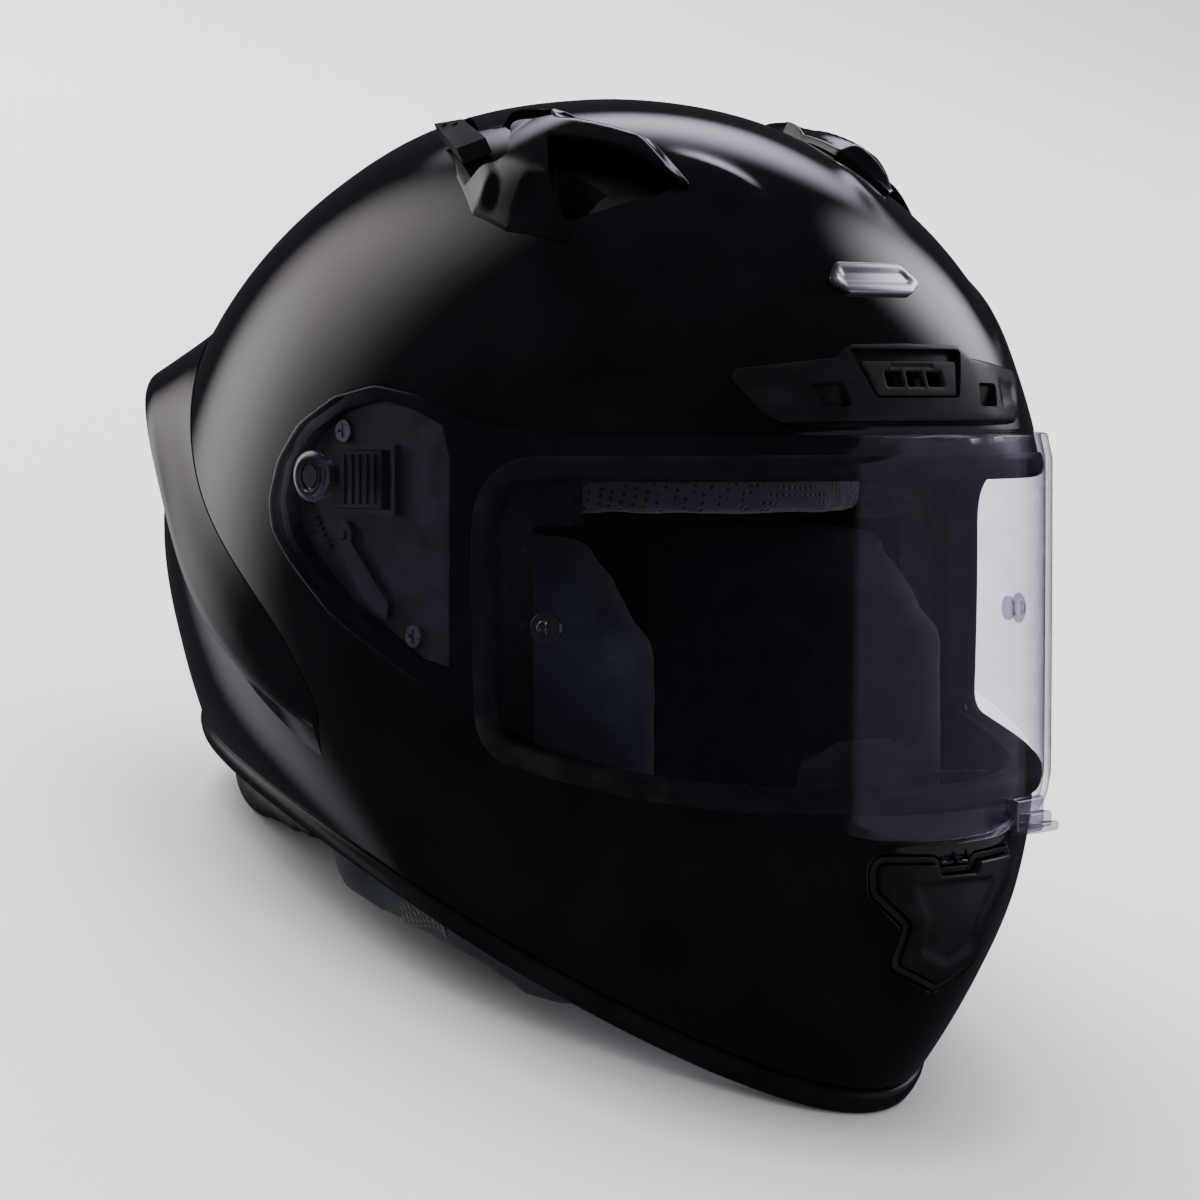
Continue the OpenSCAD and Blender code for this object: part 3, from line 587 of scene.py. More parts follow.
def plastic(name, dark, light, rough, scale=70.0, grain=1400.0, depth=0.00008, coat=0.0, metal=0.0,
            peel=0.0, specular=0.5):
    """Moulded or painted part: mottled colour, uneven gloss, fine grain and a soft orange peel."""
    made_of, tree, shader, where = nodes_for(name)
    smears = noise(tree, where, scale * 0.6, 6, (1.0, 1.0, 3.0))
    layers = [(noise(tree, where, 210, 1), peel, 0.4)] if peel else []
    bump(tree, shader, layers + [(noise(tree, where, grain, 3), depth, 0.35)])
    feed(tree, shader, {
        "Base Color": ramp(tree, noise(tree, where, scale, 5), dark, light),
        "Roughness": ranged(tree, smears, *rough), "Metallic": metal, "Specular IOR Level": specular,
        "Coat Weight": coat, "Coat Roughness": 0.02
    })
    return made_of


def cloth(name, dark, light, pitch, depth, sheen):
    """Knitted or woven cloth: a weave of the given pitch in metres, mottled, with a soft sheen."""
    made_of, tree, shader, where = nodes_for(name)
    waves = []
    for axis, turn in (("X", (0.5, 0.2, 0.8)), ("Z", (-0.6, 0.9, 0.3))):
        turned = added(tree, "Mapping", {"Vector": where, "Rotation": turn}).outputs["Vector"]
        waves.append(added(tree, "TexWave", {
            "Vector": turned, "Scale": 0.314 / pitch, "Distortion": 1.2, "Detail": 2, "Detail Scale": 1.5
        }, wave_type="BANDS", bands_direction=axis).outputs["Fac"])
    weave = calculated(tree, "MULTIPLY", *waves)
    lint = noise(tree, where, 2600, 3)
    mix = calculated(tree, "ADD", calculated(tree, "MULTIPLY", noise(tree, where, 45, 5), 0.8),
                     calculated(tree, "MULTIPLY", weave, 0.2))
    bump(tree, shader, [(weave, depth, 0.7), (lint, depth * 0.4, 0.3)])
    feed(tree, shader, {
        "Base Color": ramp(tree, mix, dark, light, 0.25, 0.7), "Roughness": ranged(tree, lint, 0.77, 0.93),
        "Sheen Weight": sheen, "Sheen Roughness": 0.5, "Specular IOR Level": 0.25
    })
    return made_of


def foam(name, dark, light):
    """Moulded bead foam, painted black."""
    made_of, tree, shader, where = nodes_for(name)
    beads = added(tree, "TexVoronoi", {"Vector": where, "Scale": 330}).outputs["Distance"]
    bump(tree, shader, [(beads, 0.0003, 0.5)])
    feed(tree, shader, {
        "Base Color": ramp(tree, noise(tree, where, 40, 4), dark, light),
        "Roughness": ranged(tree, beads, 0.5, 0.8, 0, 0.7)
    })
    return made_of


def perforated(name, dark, light):
    """Knitted mesh with rows of small holes."""
    made_of, tree, shader, where = nodes_for(name)
    cells = added(tree, "TexVoronoi", {"Vector": where, "Scale": 390, "Randomness": 0.15})
    holes = ranged(tree, cells.outputs["Distance"], 0.0, 1.0, 0.22, 0.36)
    thread = noise(tree, where, 3200, 2)
    shade = calculated(tree, "MULTIPLY", holes, calculated(tree, "ADD", thread, 0.4))
    bump(tree, shader, [(holes, 0.0006, 0.8), (thread, 0.0001, 0.4)])
    feed(tree, shader, {
        "Base Color": ramp(tree, shade, dark, light, 0.1, 0.8),
        "Roughness": ranged(tree, thread, 0.75, 0.95), "Sheen Weight": 0.2, "Specular IOR Level": 0.25
    })
    return made_of


def clear(name, tint, body, rough, amount, haze):
    """Clear moulding: tinted light through it, and a gloss that grows towards its edges."""
    made_of, tree, shader, where = nodes_for(name)
    smears = noise(tree, where, 55, 5, (1.0, 1.0, 2.5))
    through = added(tree, "BsdfTransparent", {
        "Color": ramp(tree, smears, tint, tuple(min(1, c * 1.03) for c in tint))
    })
    feed(tree, shader, {
        "Base Color": ramp(tree, smears, body, tuple(c * 1.2 for c in body)),
        "Roughness": ranged(tree, smears, rough, rough * 2.5), "Metallic": 1.0
    })
    bump(tree, shader, [(noise(tree, where, 90, 1), 0.00001, 0.1)])
    steep = calculated(tree, "POWER", added(tree, "LayerWeight", {}).outputs["Facing"], 5.0)
    weight = calculated(tree, "ADD", calculated(tree, "MULTIPLY", steep, amount), haze)
    mix = added(tree, "MixShader", {"Fac": weight, 1: through.outputs["BSDF"], 2: shader.outputs["BSDF"]})
    feed(tree, tree.nodes["Material Output"], {"Surface": mix.outputs["Shader"]})
    return made_of


def metal(name, dark, light, rough):
    """Plated or bare steel with fine brushed lines."""
    made_of, tree, shader, where = nodes_for(name)
    lines = noise(tree, where, 900, 3, (1.0, 0.06, 1.0))
    bump(tree, shader, [(lines, 0.000008, 0.15)])
    feed(tree, shader, {
        "Base Color": ramp(tree, noise(tree, where, 90, 4), dark, light),
        "Roughness": ranged(tree, lines, *rough), "Metallic": 1.0
    })
    return made_of


# Dark and light colour, roughness range, scale of the mottling and of the grain, and the grain's depth.
GLOSS = plastic("gloss_black", (0.0014, 0.0014, 0.0020), (0.0030, 0.0030, 0.0038), (0.07, 0.13),
                30, 900, 0.0000015, coat=0.9, peel=0.00002, specular=0.2)
SATIN = plastic("satin_black", (0.003, 0.003, 0.004), (0.007, 0.007, 0.009), (0.24, 0.36),
                60, 1500, 0.00003, specular=0.35)
MATTE = plastic("matte_black", (0.005, 0.005, 0.006), (0.011, 0.011, 0.013), (0.48, 0.64),
                60, 1700, 0.00008, specular=0.35)
SLIDER = plastic("slider_black", (0.006, 0.006, 0.007), (0.013, 0.013, 0.015), (0.40, 0.56),
                 80, 1500, 0.00006, specular=0.3)
RUBBER = plastic("seal_rubber", (0.003, 0.003, 0.004), (0.007, 0.007, 0.009), (0.55, 0.78),
                 120, 2200, 0.00006, specular=0.2)
MECHANISM = plastic("mechanism_plastic", (0.007, 0.007, 0.010), (0.017, 0.0165, 0.023), (0.28, 0.42),
                    90, 1600, 0.00004)
GRILLE = plastic("grille_plastic", (0.005, 0.005, 0.006), (0.012, 0.012, 0.014), (0.45, 0.65),
                 90, 1500, 0.00008)
RED = plastic("snap_red", (0.42, 0.015, 0.012), (0.58, 0.03, 0.022), (0.3, 0.45), 120, 1600, 0.00004)
LEATHER = plastic("roll_leatherette", (0.008, 0.008, 0.009), (0.020, 0.020, 0.022), (0.45, 0.62),
                  240, 700, 0.00025)
SILVER = plastic("badge_silver", (0.62, 0.62, 0.65), (0.74, 0.74, 0.78), (0.24, 0.32),
                 60, 1500, 0.00002, metal=1.0)
FOAM = foam("energy_foam", (0.003, 0.003, 0.0035), (0.008, 0.008, 0.009))
LINING = cloth("liner_cloth", (0.008, 0.009, 0.013), (0.024, 0.026, 0.036), 0.0008, 0.00015, 0.08)
PAD = cloth("pad_cloth", (0.010, 0.012, 0.019), (0.028, 0.032, 0.048), 0.0008, 0.00012, 0.08)
STRAP = cloth("webbing", (0.010, 0.010, 0.011), (0.035, 0.035, 0.038), 0.0014, 0.0005, 0.2)
MESH = perforated("brow_mesh", (0.002, 0.002, 0.003), (0.026, 0.027, 0.036))
VISOR = clear("visor_clear", (0.925, 0.915, 0.952), (0.78, 0.75, 0.92), 0.02, 0.9, 0.045)
CLEAR = clear("clear_moulding", (0.80, 0.79, 0.84), (0.86, 0.84, 0.94), 0.05, 0.78, 0.22)
STEEL = metal("plated_steel", (0.52, 0.53, 0.55), (0.68, 0.69, 0.72), (0.14, 0.3))
SCREW = metal("screw_steel", (0.30, 0.30, 0.32), (0.48, 0.48, 0.52), (0.25, 0.4))

# The record's slots, for the CAD pieces that are carried as they are
FINISHES = {
    "shell_gloss": GLOSS, "satin_trim": SATIN, "vent_slider": SLIDER, "seal_rubber": RUBBER,
    "energy_foam": FOAM, "liner_fabric": LINING, "pad_fabric": PAD, "visor_clear": VISOR,
    "clear_moulding": CLEAR, "mechanism_plastic": MECHANISM, "screw_steel": SCREW,
    "grille_plastic": GRILLE, "badge_metal": SILVER, "webbing": STRAP, "plated_steel": STEEL,
    "snap_red": RED,
}
for part in frame["record"]["subparts"]:
    carried = frame["nodes"][part["node"]]
    carried.data.materials.clear()
    carried.data.materials.append(FINISHES[part["material_slot"]])


# Creases and recesses of the shell --------------------------------------------------------------
def map_line(spots):
    """Map line through spots (x, forward, up) on either side, each moved onto the surface."""
    spots = resampled(np.asarray(spots, float) * [-1, -1, 1], 3, closed=False)
    out = []
    for spot in spots:
        i = ((TABLE_P - spot) ** 2).sum(1).argmin()
        out.append((TABLE_U[i], TABLE_A[i]))
    u, a = np.array(out).T
    line = to_map(u, a)
    smooth = line.copy()
    for _ in range(4):
        smooth[1:-1] = (smooth[:-2] + 2 * smooth[1:-1] + smooth[2:]) / 4
    return smooth


# Each styling crease: spots along it (x, forward, up), height in mm, width on its left and right side.
CREASES = [(map_line(spots), *sizes) for spots, *sizes in (
    ([(-87, 78, 75), (-80, 104, 58), (-61, 133, 34)], 1.3, 6.0, 17.0),
    ([(-122, 21, -83), (-107, 67, -103), (-94, 81, -125), (-84, 84, -150)], 1.3, 5.0, 18.0),
    ([(-66, 122, -92), (-52, 137, -116), (-40, 142, -140), (-36, 138, -170)], 0.9, 4.0, 12.0),
    ([(-44, 71, 106), (-30, 96, 98), (-26, 118, 84)], 1.0, 5.0, 12.0),
)]


def relief(points):
    """Height of the styling creases above the base surface, at map points."""
    height = np.zeros(len(points))
    for line, rise, left, right in CREASES:
        d, share = beside(points, line)
        width = np.where(d > 0, left, right)
        fade = smoothstep(share, 0.0, 0.42) * smoothstep(1 - share, 0.0, 0.42)
        height = height + rise * fade * np.exp(-(d / width) ** 2)
    return height


FLAP = arc_corners([
    (-8, -127, 0.8), (8, -127, 0.8), (10, -123.5, 1), (31, -122.5, 2.5), (30, -131, 3), (17, -142, 4),
    (18.5, -155, 3), (0, -163, 5), (-18.5, -155, 3), (-17, -142, 4), (-30, -131, 3), (-31, -122.5, 2.5),
    (-10, -123.5, 1)
], 4)
CHIN_POCKET = inset(resampled(FLAP, 0.8), -2.9)
POCKET_DEEP = 2.6
SHELL_WALL, THIN_WALL = 4.5, 2.4  # the shell's wall, and what is left of it under a recess
RECESS_REACH = 3  # how far outside a recess's outline its rounded shoulder is looked for
chin_half = CHIN_POCKET[CHIN_POCKET[:, 0] >= 0]
chin_half = np.roll(chin_half, -int(np.linalg.norm(np.diff(chin_half, axis=0), axis=1).argmax()) - 1, 0)
chin_half = chin_half[::-1] if chin_half[0, 1] < chin_half[-1, 1] else chin_half
chin_loop = closed_at_front(to_map(*find(chin_half, "front")))
rebate_loop = closed_at_front(rebate_line)
VENT_MOUTH = [(66, -50, 105), (77.7, -61, 92.6), (85.7, -73, 79), (56, -91, 90), (46.5, -89, 95)]
mouth_loop = inset(map_line([(-x, -y, z) for x, y, z in VENT_MOUTH + VENT_MOUTH[:1]])[:-1], 1.0)


def hollow(points):
    """Depth of the shell's surface under the base surface, at map points."""
    u, a = from_map(points)
    flesh, out = base(u, a), normal(u, a)
    s = depth_in(points, rebate_loop)
    near = s > -RECESS_REACH
    t = np.zeros(len(points))
    for _ in range(4):
        t[near] += visor_offset(flesh[near] - out[near] * t[near][:, None]) + REBATE
    deep = np.where(near, shoulder(s, np.clip(t, 0.4, 9)), 0)
    s = depth_in(points, pocket_loop)
    floor = np.where(s > 0, (np.abs(flesh[:, 0]) - POCKET_FLOOR) / np.maximum(np.abs(out[:, 0]), 0.2), 0)
    deep = np.maximum(deep, smoothstep(s, 0, 0.7) * np.clip(floor, 0, 14))
    s = depth_in(points, chin_loop)
    return np.maximum(deep, np.where(s > -RECESS_REACH, shoulder(s, POCKET_DEEP), 0))


def shell_half():
    """Top and bottom skins and triangles of the shell's left half."""
    seam_a = np.linspace(0, 180, 150)
    seam = to_map(seam_level(seam_a), seam_a)
    rear_u = np.linspace(seam_level(180), 0.0, 130)
    rear = to_map(rear_u, np.full(130, 180.0))
    top_y, low_y = eye_line[0, 1], eye_line[-1, 1]
    front_top = np.stack([np.zeros(70), np.linspace(0, top_y, 70)], 1)
    front_low = np.stack([np.zeros(60), np.linspace(low_y, seam[0, 1], 60)], 1)
    outline = np.concatenate([
        front_top[1:-1], eye_line, front_low[1:-1], seam[:-1], rear[:-1], [[0, 0]]
    ])
    rows = []
    for offset in (-1.4, -0.8, -0.35, 0.05, 0.5, 1.2):
        rows.append(clipped(inset(rebate_loop, offset)))
        rows.append((inset(pocket_loop, offset), True))
        rows.append(clipped(inset(chin_loop, offset)))
    for offset in (-0.6, -1.3, -2.2):
        rows.append(clipped(inset(closed_at_front(eye_line), offset)))
    along = unit(np.gradient(seam, axis=0))
    inward = np.stack([-along[:, 1], along[:, 0]], 1)
    inward = inward * -np.sign((inward * seam).sum(1))[:, None]
    for offset in (0.5, 1.2, 2.2):
        row = seam + inward * offset
        rows.append((row[row[:, 0] > 0.5], False))
    for line, _, _, _ in CREASES:
        rows.append((line, False))
    points, faces = triangles(outline, [mouth_loop], rows, spacing=2.6)
    u, a = from_map(points)
    a = np.where(points[:, 0] <= 1e-6, 0, a)
    edge = np.minimum(distance(points, eye_line, closed=False), distance(points, seam, closed=False))
    lip = quarter_round(edge, 1.2, 1.1)
    deep = hollow(points)
    flesh, out = base(u, a), normal(u, a)
    out = np.where((np.abs(points[:, 0]) < 1e-6)[:, None], unit(out * [0, 1, 1]), out)
    rise = relief(points) * (deep < 0.01)
    top = flesh + out * (rise - deep - lip)[:, None]
    bottom = flesh - out * np.maximum(SHELL_WALL, deep + THIN_WALL)[:, None]
    on_rear = a > 179.99
    top[on_rear, 0] = 0
    bottom[on_rear, 0] = 0
    return top, bottom, faces


def clipped(loop):
    """The part of a loop that lies on the left half, as a chain."""
    keep = loop[:, 0] > 0.3
    if keep.all():
        return loop, True
    first = np.flatnonzero(~keep)[-1] + 1
    turned = np.roll(loop, -first, 0)
    return turned[np.roll(keep, -first)], False


def whole(top, bottom, faces):
    """Both halves of a slab joined along the middle."""
    n = len(top)
    flip = [-1, 1, 1]
    tops = np.concatenate([top, top * flip])
    bottoms = np.concatenate([bottom, bottom * flip])
    skin_faces = np.concatenate([faces, faces[:, ::-1] + n])
    twins = np.arange(2 * n)
    middle = np.flatnonzero(np.abs(top[:, 0]) < 1e-4)
    twins[middle + n] = middle
    return slab(tops, bottoms, twins[skin_faces])


made("shell_painted", *whole(*shell_half()), GLOSS, "shell", "shell_gloss", smooth=28)


# Plates on the surface --------------------------------------------------------------------------
def over_skin(points, view, d):
    """Points of the upright frame over spots in a view, d mm off the base surface."""
    across = np.abs(points[:, 0])
    u, a = find(np.stack([across, points[:, 1] * (-1 if view == "top" else 1)], 1), view)
    out = skin(u, a, d)
    out[:, 0] *= np.where(points[:, 0] < 0, -1.0, 1.0)
    out[across < 1e-6, 0] = 0
    return out


def plate(outline, view, rise, under=0.15, rim=0.9, holes=(), loops=(), spacing=1.6, step=1.2):
    """Slab over the surface. Its edges are rounded; rise and under give its height and its underside,
    and the mesh has edges along the loops."""
    outline = resampled(outline, step)
    holes = [resampled(h, step) for h in holes]
    rows = [inset(outline, k * rim) for k in (0.2, 0.55, 1.0)]
    rows += [inset(hole, -k * rim) for hole in holes for k in (0.25, 0.9)]
    rows += [resampled(loop, step) for loop in loops]
    points, faces = triangles(outline, holes, [(row, True) for row in rows], spacing, keep_off=0.45)
    s = distance(points, outline)
    for hole in holes:
        s = np.minimum(s, distance(points, hole))
    high = rise(points)
    low = under(points) if callable(under) else np.full(len(points), under)
    high = np.maximum(high - quarter_round(s, rim, rim), low + 0.2)
    return slab(over_skin(points, view, high), over_skin(points, view, low), faces)


def carved(points, region, wall=0.6):
    """1 well inside a region, 0 outside it, with a steep wall between."""
    return smoothstep(depth_in(points, resampled(region, 1.0)), 0.0, wall)


def box_outline(x, y, width, height, radius=0.8):
    w, h = width / 2, height / 2
    return arc_corners([
        (x - w, y - h, radius), (x + w, y - h, radius), (x + w, y + h, radius), (x - w, y + h, radius)
    ], 3)


# Brow vent
BROW = arc_corners([
    (0, 41.5, 0), (25, 41, 3), (31, 37, 3), (66, 34.5, 2), (68, 31, 1.5), (61, 20, 3), (55, 16.8, 2),
    (-55, 16.8, 2), (-61, 20, 3), (-68, 31, 1.5), (-66, 34.5, 2), (-31, 37, 3), (-25, 41, 3)
], 4)
BROW_SLOT = arc_corners([(-26.4, 39.6, 1.5), (26.4, 39.6, 1.5), (19.6, 24.2, 1.5), (-19.6, 24.2, 1.5)], 4)
BROW_SCOOP = arc_corners([(30, 21.5, 1.5), (41, 21.5, 1.5), (44, 29, 1.5), (32, 29, 1.5)], 4)
BROW_SCOOP_LEFT = BROW_SCOOP * [-1, 1]
BROW_GROOVES = [
    np.array([[46.0, 22.5], [60.0, 24.0], [62.5, 29.5], [48.0, 30.5]]),
    np.array([[-46.0, 22.5], [-48.0, 30.5], [-62.5, 29.5], [-60.0, 24.0]]),
]


def brow_height(points):
    across = np.abs(points[:, 0])
    height = 4.3 - 3.0 * smoothstep(across, 30, 66)
    height -= 2.7 * carved(points, BROW_SLOT)
    for scoop in (BROW_SCOOP, BROW_SCOOP_LEFT):
        slope = np.clip((points[:, 1] - 20) / 10, 0, 1)
        height -= carved(points, scoop) * (3.4 - 2.2 * slope)
    for groove in BROW_GROOVES:
        height -= 0.5 * carved(points, groove, 0.8)
    return height


def brow_slider_height(points):
    return 3.9 - 0.6 * carved(points, box_outline(0, 34.6, 20, 1.2, 0.4), 0.3)


made("brow_vent_body", *plate(BROW, "front", brow_height, holes=[box_outline(0, 31, 32, 7)],
     loops=[inset(loop, k) for loop in (BROW_SLOT, BROW_SCOOP, BROW_SCOOP_LEFT) for k in (0, 0.6)],
     spacing=1.5), SATIN, "brow_vent_housing", "satin_trim")
SLIDER_EDGE = arc_corners([(-22.6, 36, 1.5), (22.6, 36, 1.5), (18.6, 24.8, 1.5), (-18.6, 24.8, 1.5)], 4)
made("brow_louvre", *plate(SLIDER_EDGE, "front", brow_slider_height, under=2.05, rim=0.7,
     holes=[box_outline(x, 30.2, 7.6, 4.6, 0.7) for x in (-9.6, 0, 9.6)], spacing=1.0, step=0.8),
     SLIDER, "brow_vent_slider", "vent_slider", "brow_slider")

# Badge: a plain bar with a fine groove along it
BADGE = arc_corners([
    (-22, 62, 2), (-15, 58.4, 4), (15, 58.4, 4), (22, 62, 2), (15, 68.4, 4), (-15, 68.4, 4)
])
GROOVE = inset(resampled(BADGE, 1), 2.6)
made("badge_bar", *plate(BADGE, "front", lambda p: 1.9 - 0.5 * carved(p, GROOVE, 0.5), rim=0.8, spacing=1.0,
     step=0.8), SILVER, "front_badge", "badge_metal")

# Chin vent
def flap_height(points):
    height = 1.6 + 1.0 * smoothstep(points[:, 1], -163, -128)
    middle = arc_corners([(-21, -128, 3), (21, -128, 3), (12.5, -141, 4), (12.5, -152, 3), (0, -157, 4),
                          (-12.5, -152, 3), (-12.5, -141, 4)], 4)
    return height - 0.9 * carved(points, middle, 2.2)


made("chin_flap_panel", *plate(FLAP, "front", flap_height, under=-0.7, rim=1.0, spacing=1.3, step=1.0),
     SATIN, "chin_vent_flap", "satin_trim", "chin_flap")
FLAP_LOOP = resampled(FLAP, 1.2)
made("chin_vent_surround", *plate(
    inset(FLAP_LOOP, -2.5), "front", lambda p: -1.2 + 1.3 * (1 - carved(p, inset(FLAP_LOOP, -0.8), 0.5)),
    under=-2.4, rim=0.5, holes=[box_outline(0, -138, 22, 8)],
    loops=[inset(FLAP_LOOP, k) for k in (-0.75, -0.3)], spacing=1.4, step=1.0
), MATTE, "chin_vent_frame", "satin_trim")

# Rear vent cover
REAR_COVER = arc_corners([
    (-34, -12, 4), (34, -12, 4), (46, -40, 5), (30, -56, 6), (-30, -56, 6), (-46, -40, 5)
], 4)
made("rear_vent_panel", *plate(
    REAR_COVER, "back", lambda p: 4.8 - 1.6 * smoothstep(p[:, 1], -30, -54), rim=2.2,
    holes=[box_outline(x, -28, 10.5, 8.5, 2.5) for x in (-24, -8, 8, 24)], spacing=1.8), SATIN,
    "rear_vent_cover", "satin_trim")

# Crown vents: right-hand outlines seen from above, as left and forward
COWL = arc_corners([
    (63, 0, 1), (68, 1, 1), (85, 23, 4), (94, 40, 4), (94, 56, 4), (88, 77, 1), (85, 77, 0.8), (83, 69, 2),
    (77, 60, 3), (67, 49, 1.5), (50, 91, 1), (47, 92.5, 1), (44, 71, 8), (52, 44, 3), (53, 38, 2),
    (62, 11, 4)
], 5)
COWL_FOOT = np.array([[68, 1], [85, 23], [94, 40], [94, 56], [88, 77]], float)
COWL_HEAD = np.array([[47, 92.5], [44, 71], [52, 44]], float)
RECESS = arc_corners([
    (66.5, -3, 0), (60.5, 12, 2), (54.5, 37.5, 1.5), (57.5, 43.5, 1.5), (64.4, 29.4, 3), (79.0, 43.6, 2),
    (89.6, 26.4, 1.5), (75, -4, 0)
], 4)


def cowl_height(points):
    """Height of the right crown cowl: a blade that rises forwards, with a recess for the slider."""
    foot = distance(points, COWL_FOOT, closed=False)
    head = distance(points, COWL_HEAD, closed=False)
    ahead = points[:, 1]
    lift = 7.4 * smoothstep(ahead, 0, 52) * smoothstep(foot, 0, 15) * (1 - 0.62 * smoothstep(ahead, 70, 94))
    lift = lift * (0.35 + 0.65 * smoothstep(head, 0, 7)) + 0.7
    rear = 5.6 * smoothstep(foot, 0, 9) * smoothstep(ahead, 0, 9) * (1 - smoothstep(ahead, 40, 56)) + 0.7
    lift = np.maximum(lift, rear)
    return lift * (1 - carved(points, RECESS, 0.7)) + 0.75 * carved(points, RECESS, 0.7)


def cowl_under(points):
    """Underside of the cowl: on the shell, but hollow over the vent's mouth and under the blade."""
    mouth = np.array([(p[0], -p[1]) for p in VENT_MOUTH])
    over = smoothstep(depth_in(points, inset(resampled(mouth, 1.5), -1.5)), -2, 2)
    blade = smoothstep(points[:, 1], 50, 56) * (1 - smoothstep(points[:, 0], 66, 70))
    return 0.12 + np.clip(cowl_height(points) - 2.6, 0, 6) * np.maximum(over, blade)


made_pair("crown_cowl", *plate(
    COWL, "top", cowl_height, under=cowl_under, rim=0.8,
    loops=[RECESS, inset(resampled(RECESS, 1), 0.7)], spacing=1.5
), GLOSS, "top_vent_cowl", "shell_gloss")


# Spoiler ----------------------------------------------------------------------------------------
# Each stop: angle and level of its upper seam, then of its free edge, and the edge's stand-off.
SPOILER = [
    [180, 0.37, 180, 0.475, 19], [170, 0.375, 168, 0.475, 18.5], [152, 0.385, 150, 0.475, 17],
    [134, 0.4, 134, 0.49, 12], [121, 0.5, 122, 0.575, 5.5], [112, 0.6, 116, 0.68, 4.5],
    [101, 0.69, 109, 0.77, 4.5], [93, 0.77, 100, 0.83, 3], [91, 0.83, 92, 0.85, 0.8]
]


def loft(sections, closed=True):
    """Closed sections joined in a row: round in a ring, or open with both ends capped."""
    n, m = sections.shape[:2]
    i, j = np.meshgrid(np.arange(n if closed else n - 1), np.arange(m), indexing="ij")
    a, b = (i + 1) % n, (j + 1) % m
    faces = np.stack([i * m + j, a * m + j, a * m + b, i * m + b], -1).reshape(-1, 4).tolist()
    if not closed:
        faces += [list(range(m)), [(n - 1) * m + k for k in reversed(range(m))]]
    return sections.reshape(-1, 3), faces


def spoiler():
    """Sections from the left flank round the rear to the right flank, lofted."""
    count = 120
    share = np.linspace(-1, 1, 2 * count + 1)
    stops = spline(SPOILER, np.abs(share))
    side = np.where(share < 0, 1.0, -1.0)[:, None]

    def at(u, a, d):
        return skin(u, a, np.asarray(d) + np.zeros(len(u))) * (side * [1, 0, 0] + [0, 1, 1])

    seam_a, seam_u, edge_a, edge_u, stand = stops.T
    rows = []
    for k in range(9):
        t = k / 8
        lift = stand * (0.75 * t ** 1.7 + 0.25 * t) + 0.25 + 0.9 * math.sin(math.pi * t)
        rows.append(at(seam_u + (edge_u - seam_u) * t, seam_a + (edge_a - seam_a) * t, lift))
    low_u = np.minimum(edge_u + 0.035, 0.95)
    tip = rows[-1]
    root = at(low_u, edge_a, 0.1)
    fall = unit(root - tip)
    ahead = unit(rows[-1] - rows[-2])
    thick = np.minimum(2.2, 0.25 + 0.16 * stand)[:, None]
    for onward, down in ((0.35, 0.25), (0.30, 0.75), (0, 1)):
        rows.append(tip + thick * (onward * ahead + down * fall))
    start = rows[-1]
    for k in range(1, 6):
        t = k / 5
        flat = start + (root - start) * t
        rows.append(flat - 0.12 * stand[:, None] * math.sin(math.pi * t) * ahead)
    rows.append(at((low_u + seam_u) / 2, (edge_a + seam_a) / 2, -0.15))
    return loft(np.stack(rows, 1), closed=False)


made("spoiler_wing", *spoiler(), GLOSS, "rear_spoiler", "shell_gloss", smooth=38)


# Base trim --------------------------------------------------------------------------------------
TRIM = [  # share of the way from the seam to the rim, and height over the surface
    (0.0, -3.5), (0.0, -0.4), (0.03, 0.5), (0.10, 1.15), (0.30, 1.7), (0.60, 2.0), (0.85, 1.9), (0.96, 1.3),
    (1.0, 0.3), (1.0, -1.5), (0.97, -4.0), (0.88, -6.0), (0.7, -7.2), (0.4, -7.6), (0.1, -7.0)
]


def base_trim():
    """The trim's section carried round the rim, its lowest stretch pressed flat on the floor."""
    around = np.linspace(0, 360, 289)[:-1]
    folded = np.where(around > 180, 360 - around, around)
    seam = seam_level(folded) + 0.0006
    rows = []
    for share, height in TRIM:
        u = seam + (0.9985 - seam) * share
        rows.append(skin(u, around, np.full(len(u), height)))
    points, quads = loft(np.stack(rows, 1))
    points = place(points)
    points[:, 2] = np.maximum(points[:, 2], 0.0)
    return points, quads


made("rim_trim", *base_trim(), SATIN, "base_trim", "satin_trim", upright=False, smooth=50)


# Visor and seal ---------------------------------------------------------------------------------
# They are cut out of a flat map of the visor sheet: across, the length of its arc at pivot height, and
# up, the height.
SHEET_A = np.linspace(0, 115, 461)
SHEET_P = visor_point(SHEET_A, np.zeros(461))
SHEET_S = run_along(SHEET_P)


def sheet_map(points, step=1.5):
    """Sheet map line of an outline in side view (forward, up)."""
    dense = resampled(points, 0.25, closed=False)
    a = np.interp(-dense[:, 0], SHEET_P[:, 1], SHEET_A)
    line = np.stack([np.interp(a, SHEET_A, SHEET_S), dense[:, 1]], 1)
    line = line[np.concatenate([[True], np.linalg.norm(np.diff(line, axis=0), axis=1) > 1e-6])]
    run = run_along(line)
    ticks = np.linspace(0, run[-1], int(run[-1] / step) + 1)
    return np.stack([np.interp(ticks, run, line[:, 0]), np.interp(ticks, run, line[:, 1])], 1)


def sheet_point(points, d):
    """Points of the visor at distance d over its outer face, from points of its flat map."""
    a = np.interp(points[:, 0], SHEET_S, SHEET_A)
    out = visor_point(a, points[:, 1], d)
    out[np.abs(points[:, 0]) < 1e-6, 0] = 0
    return out


def round_hole(x, y, radius, count=28):
    t = np.linspace(0, 2 * math.pi, count + 1)[:-1]
    return np.stack([x + radius * np.cos(t), y + radius * np.sin(t)], 1)


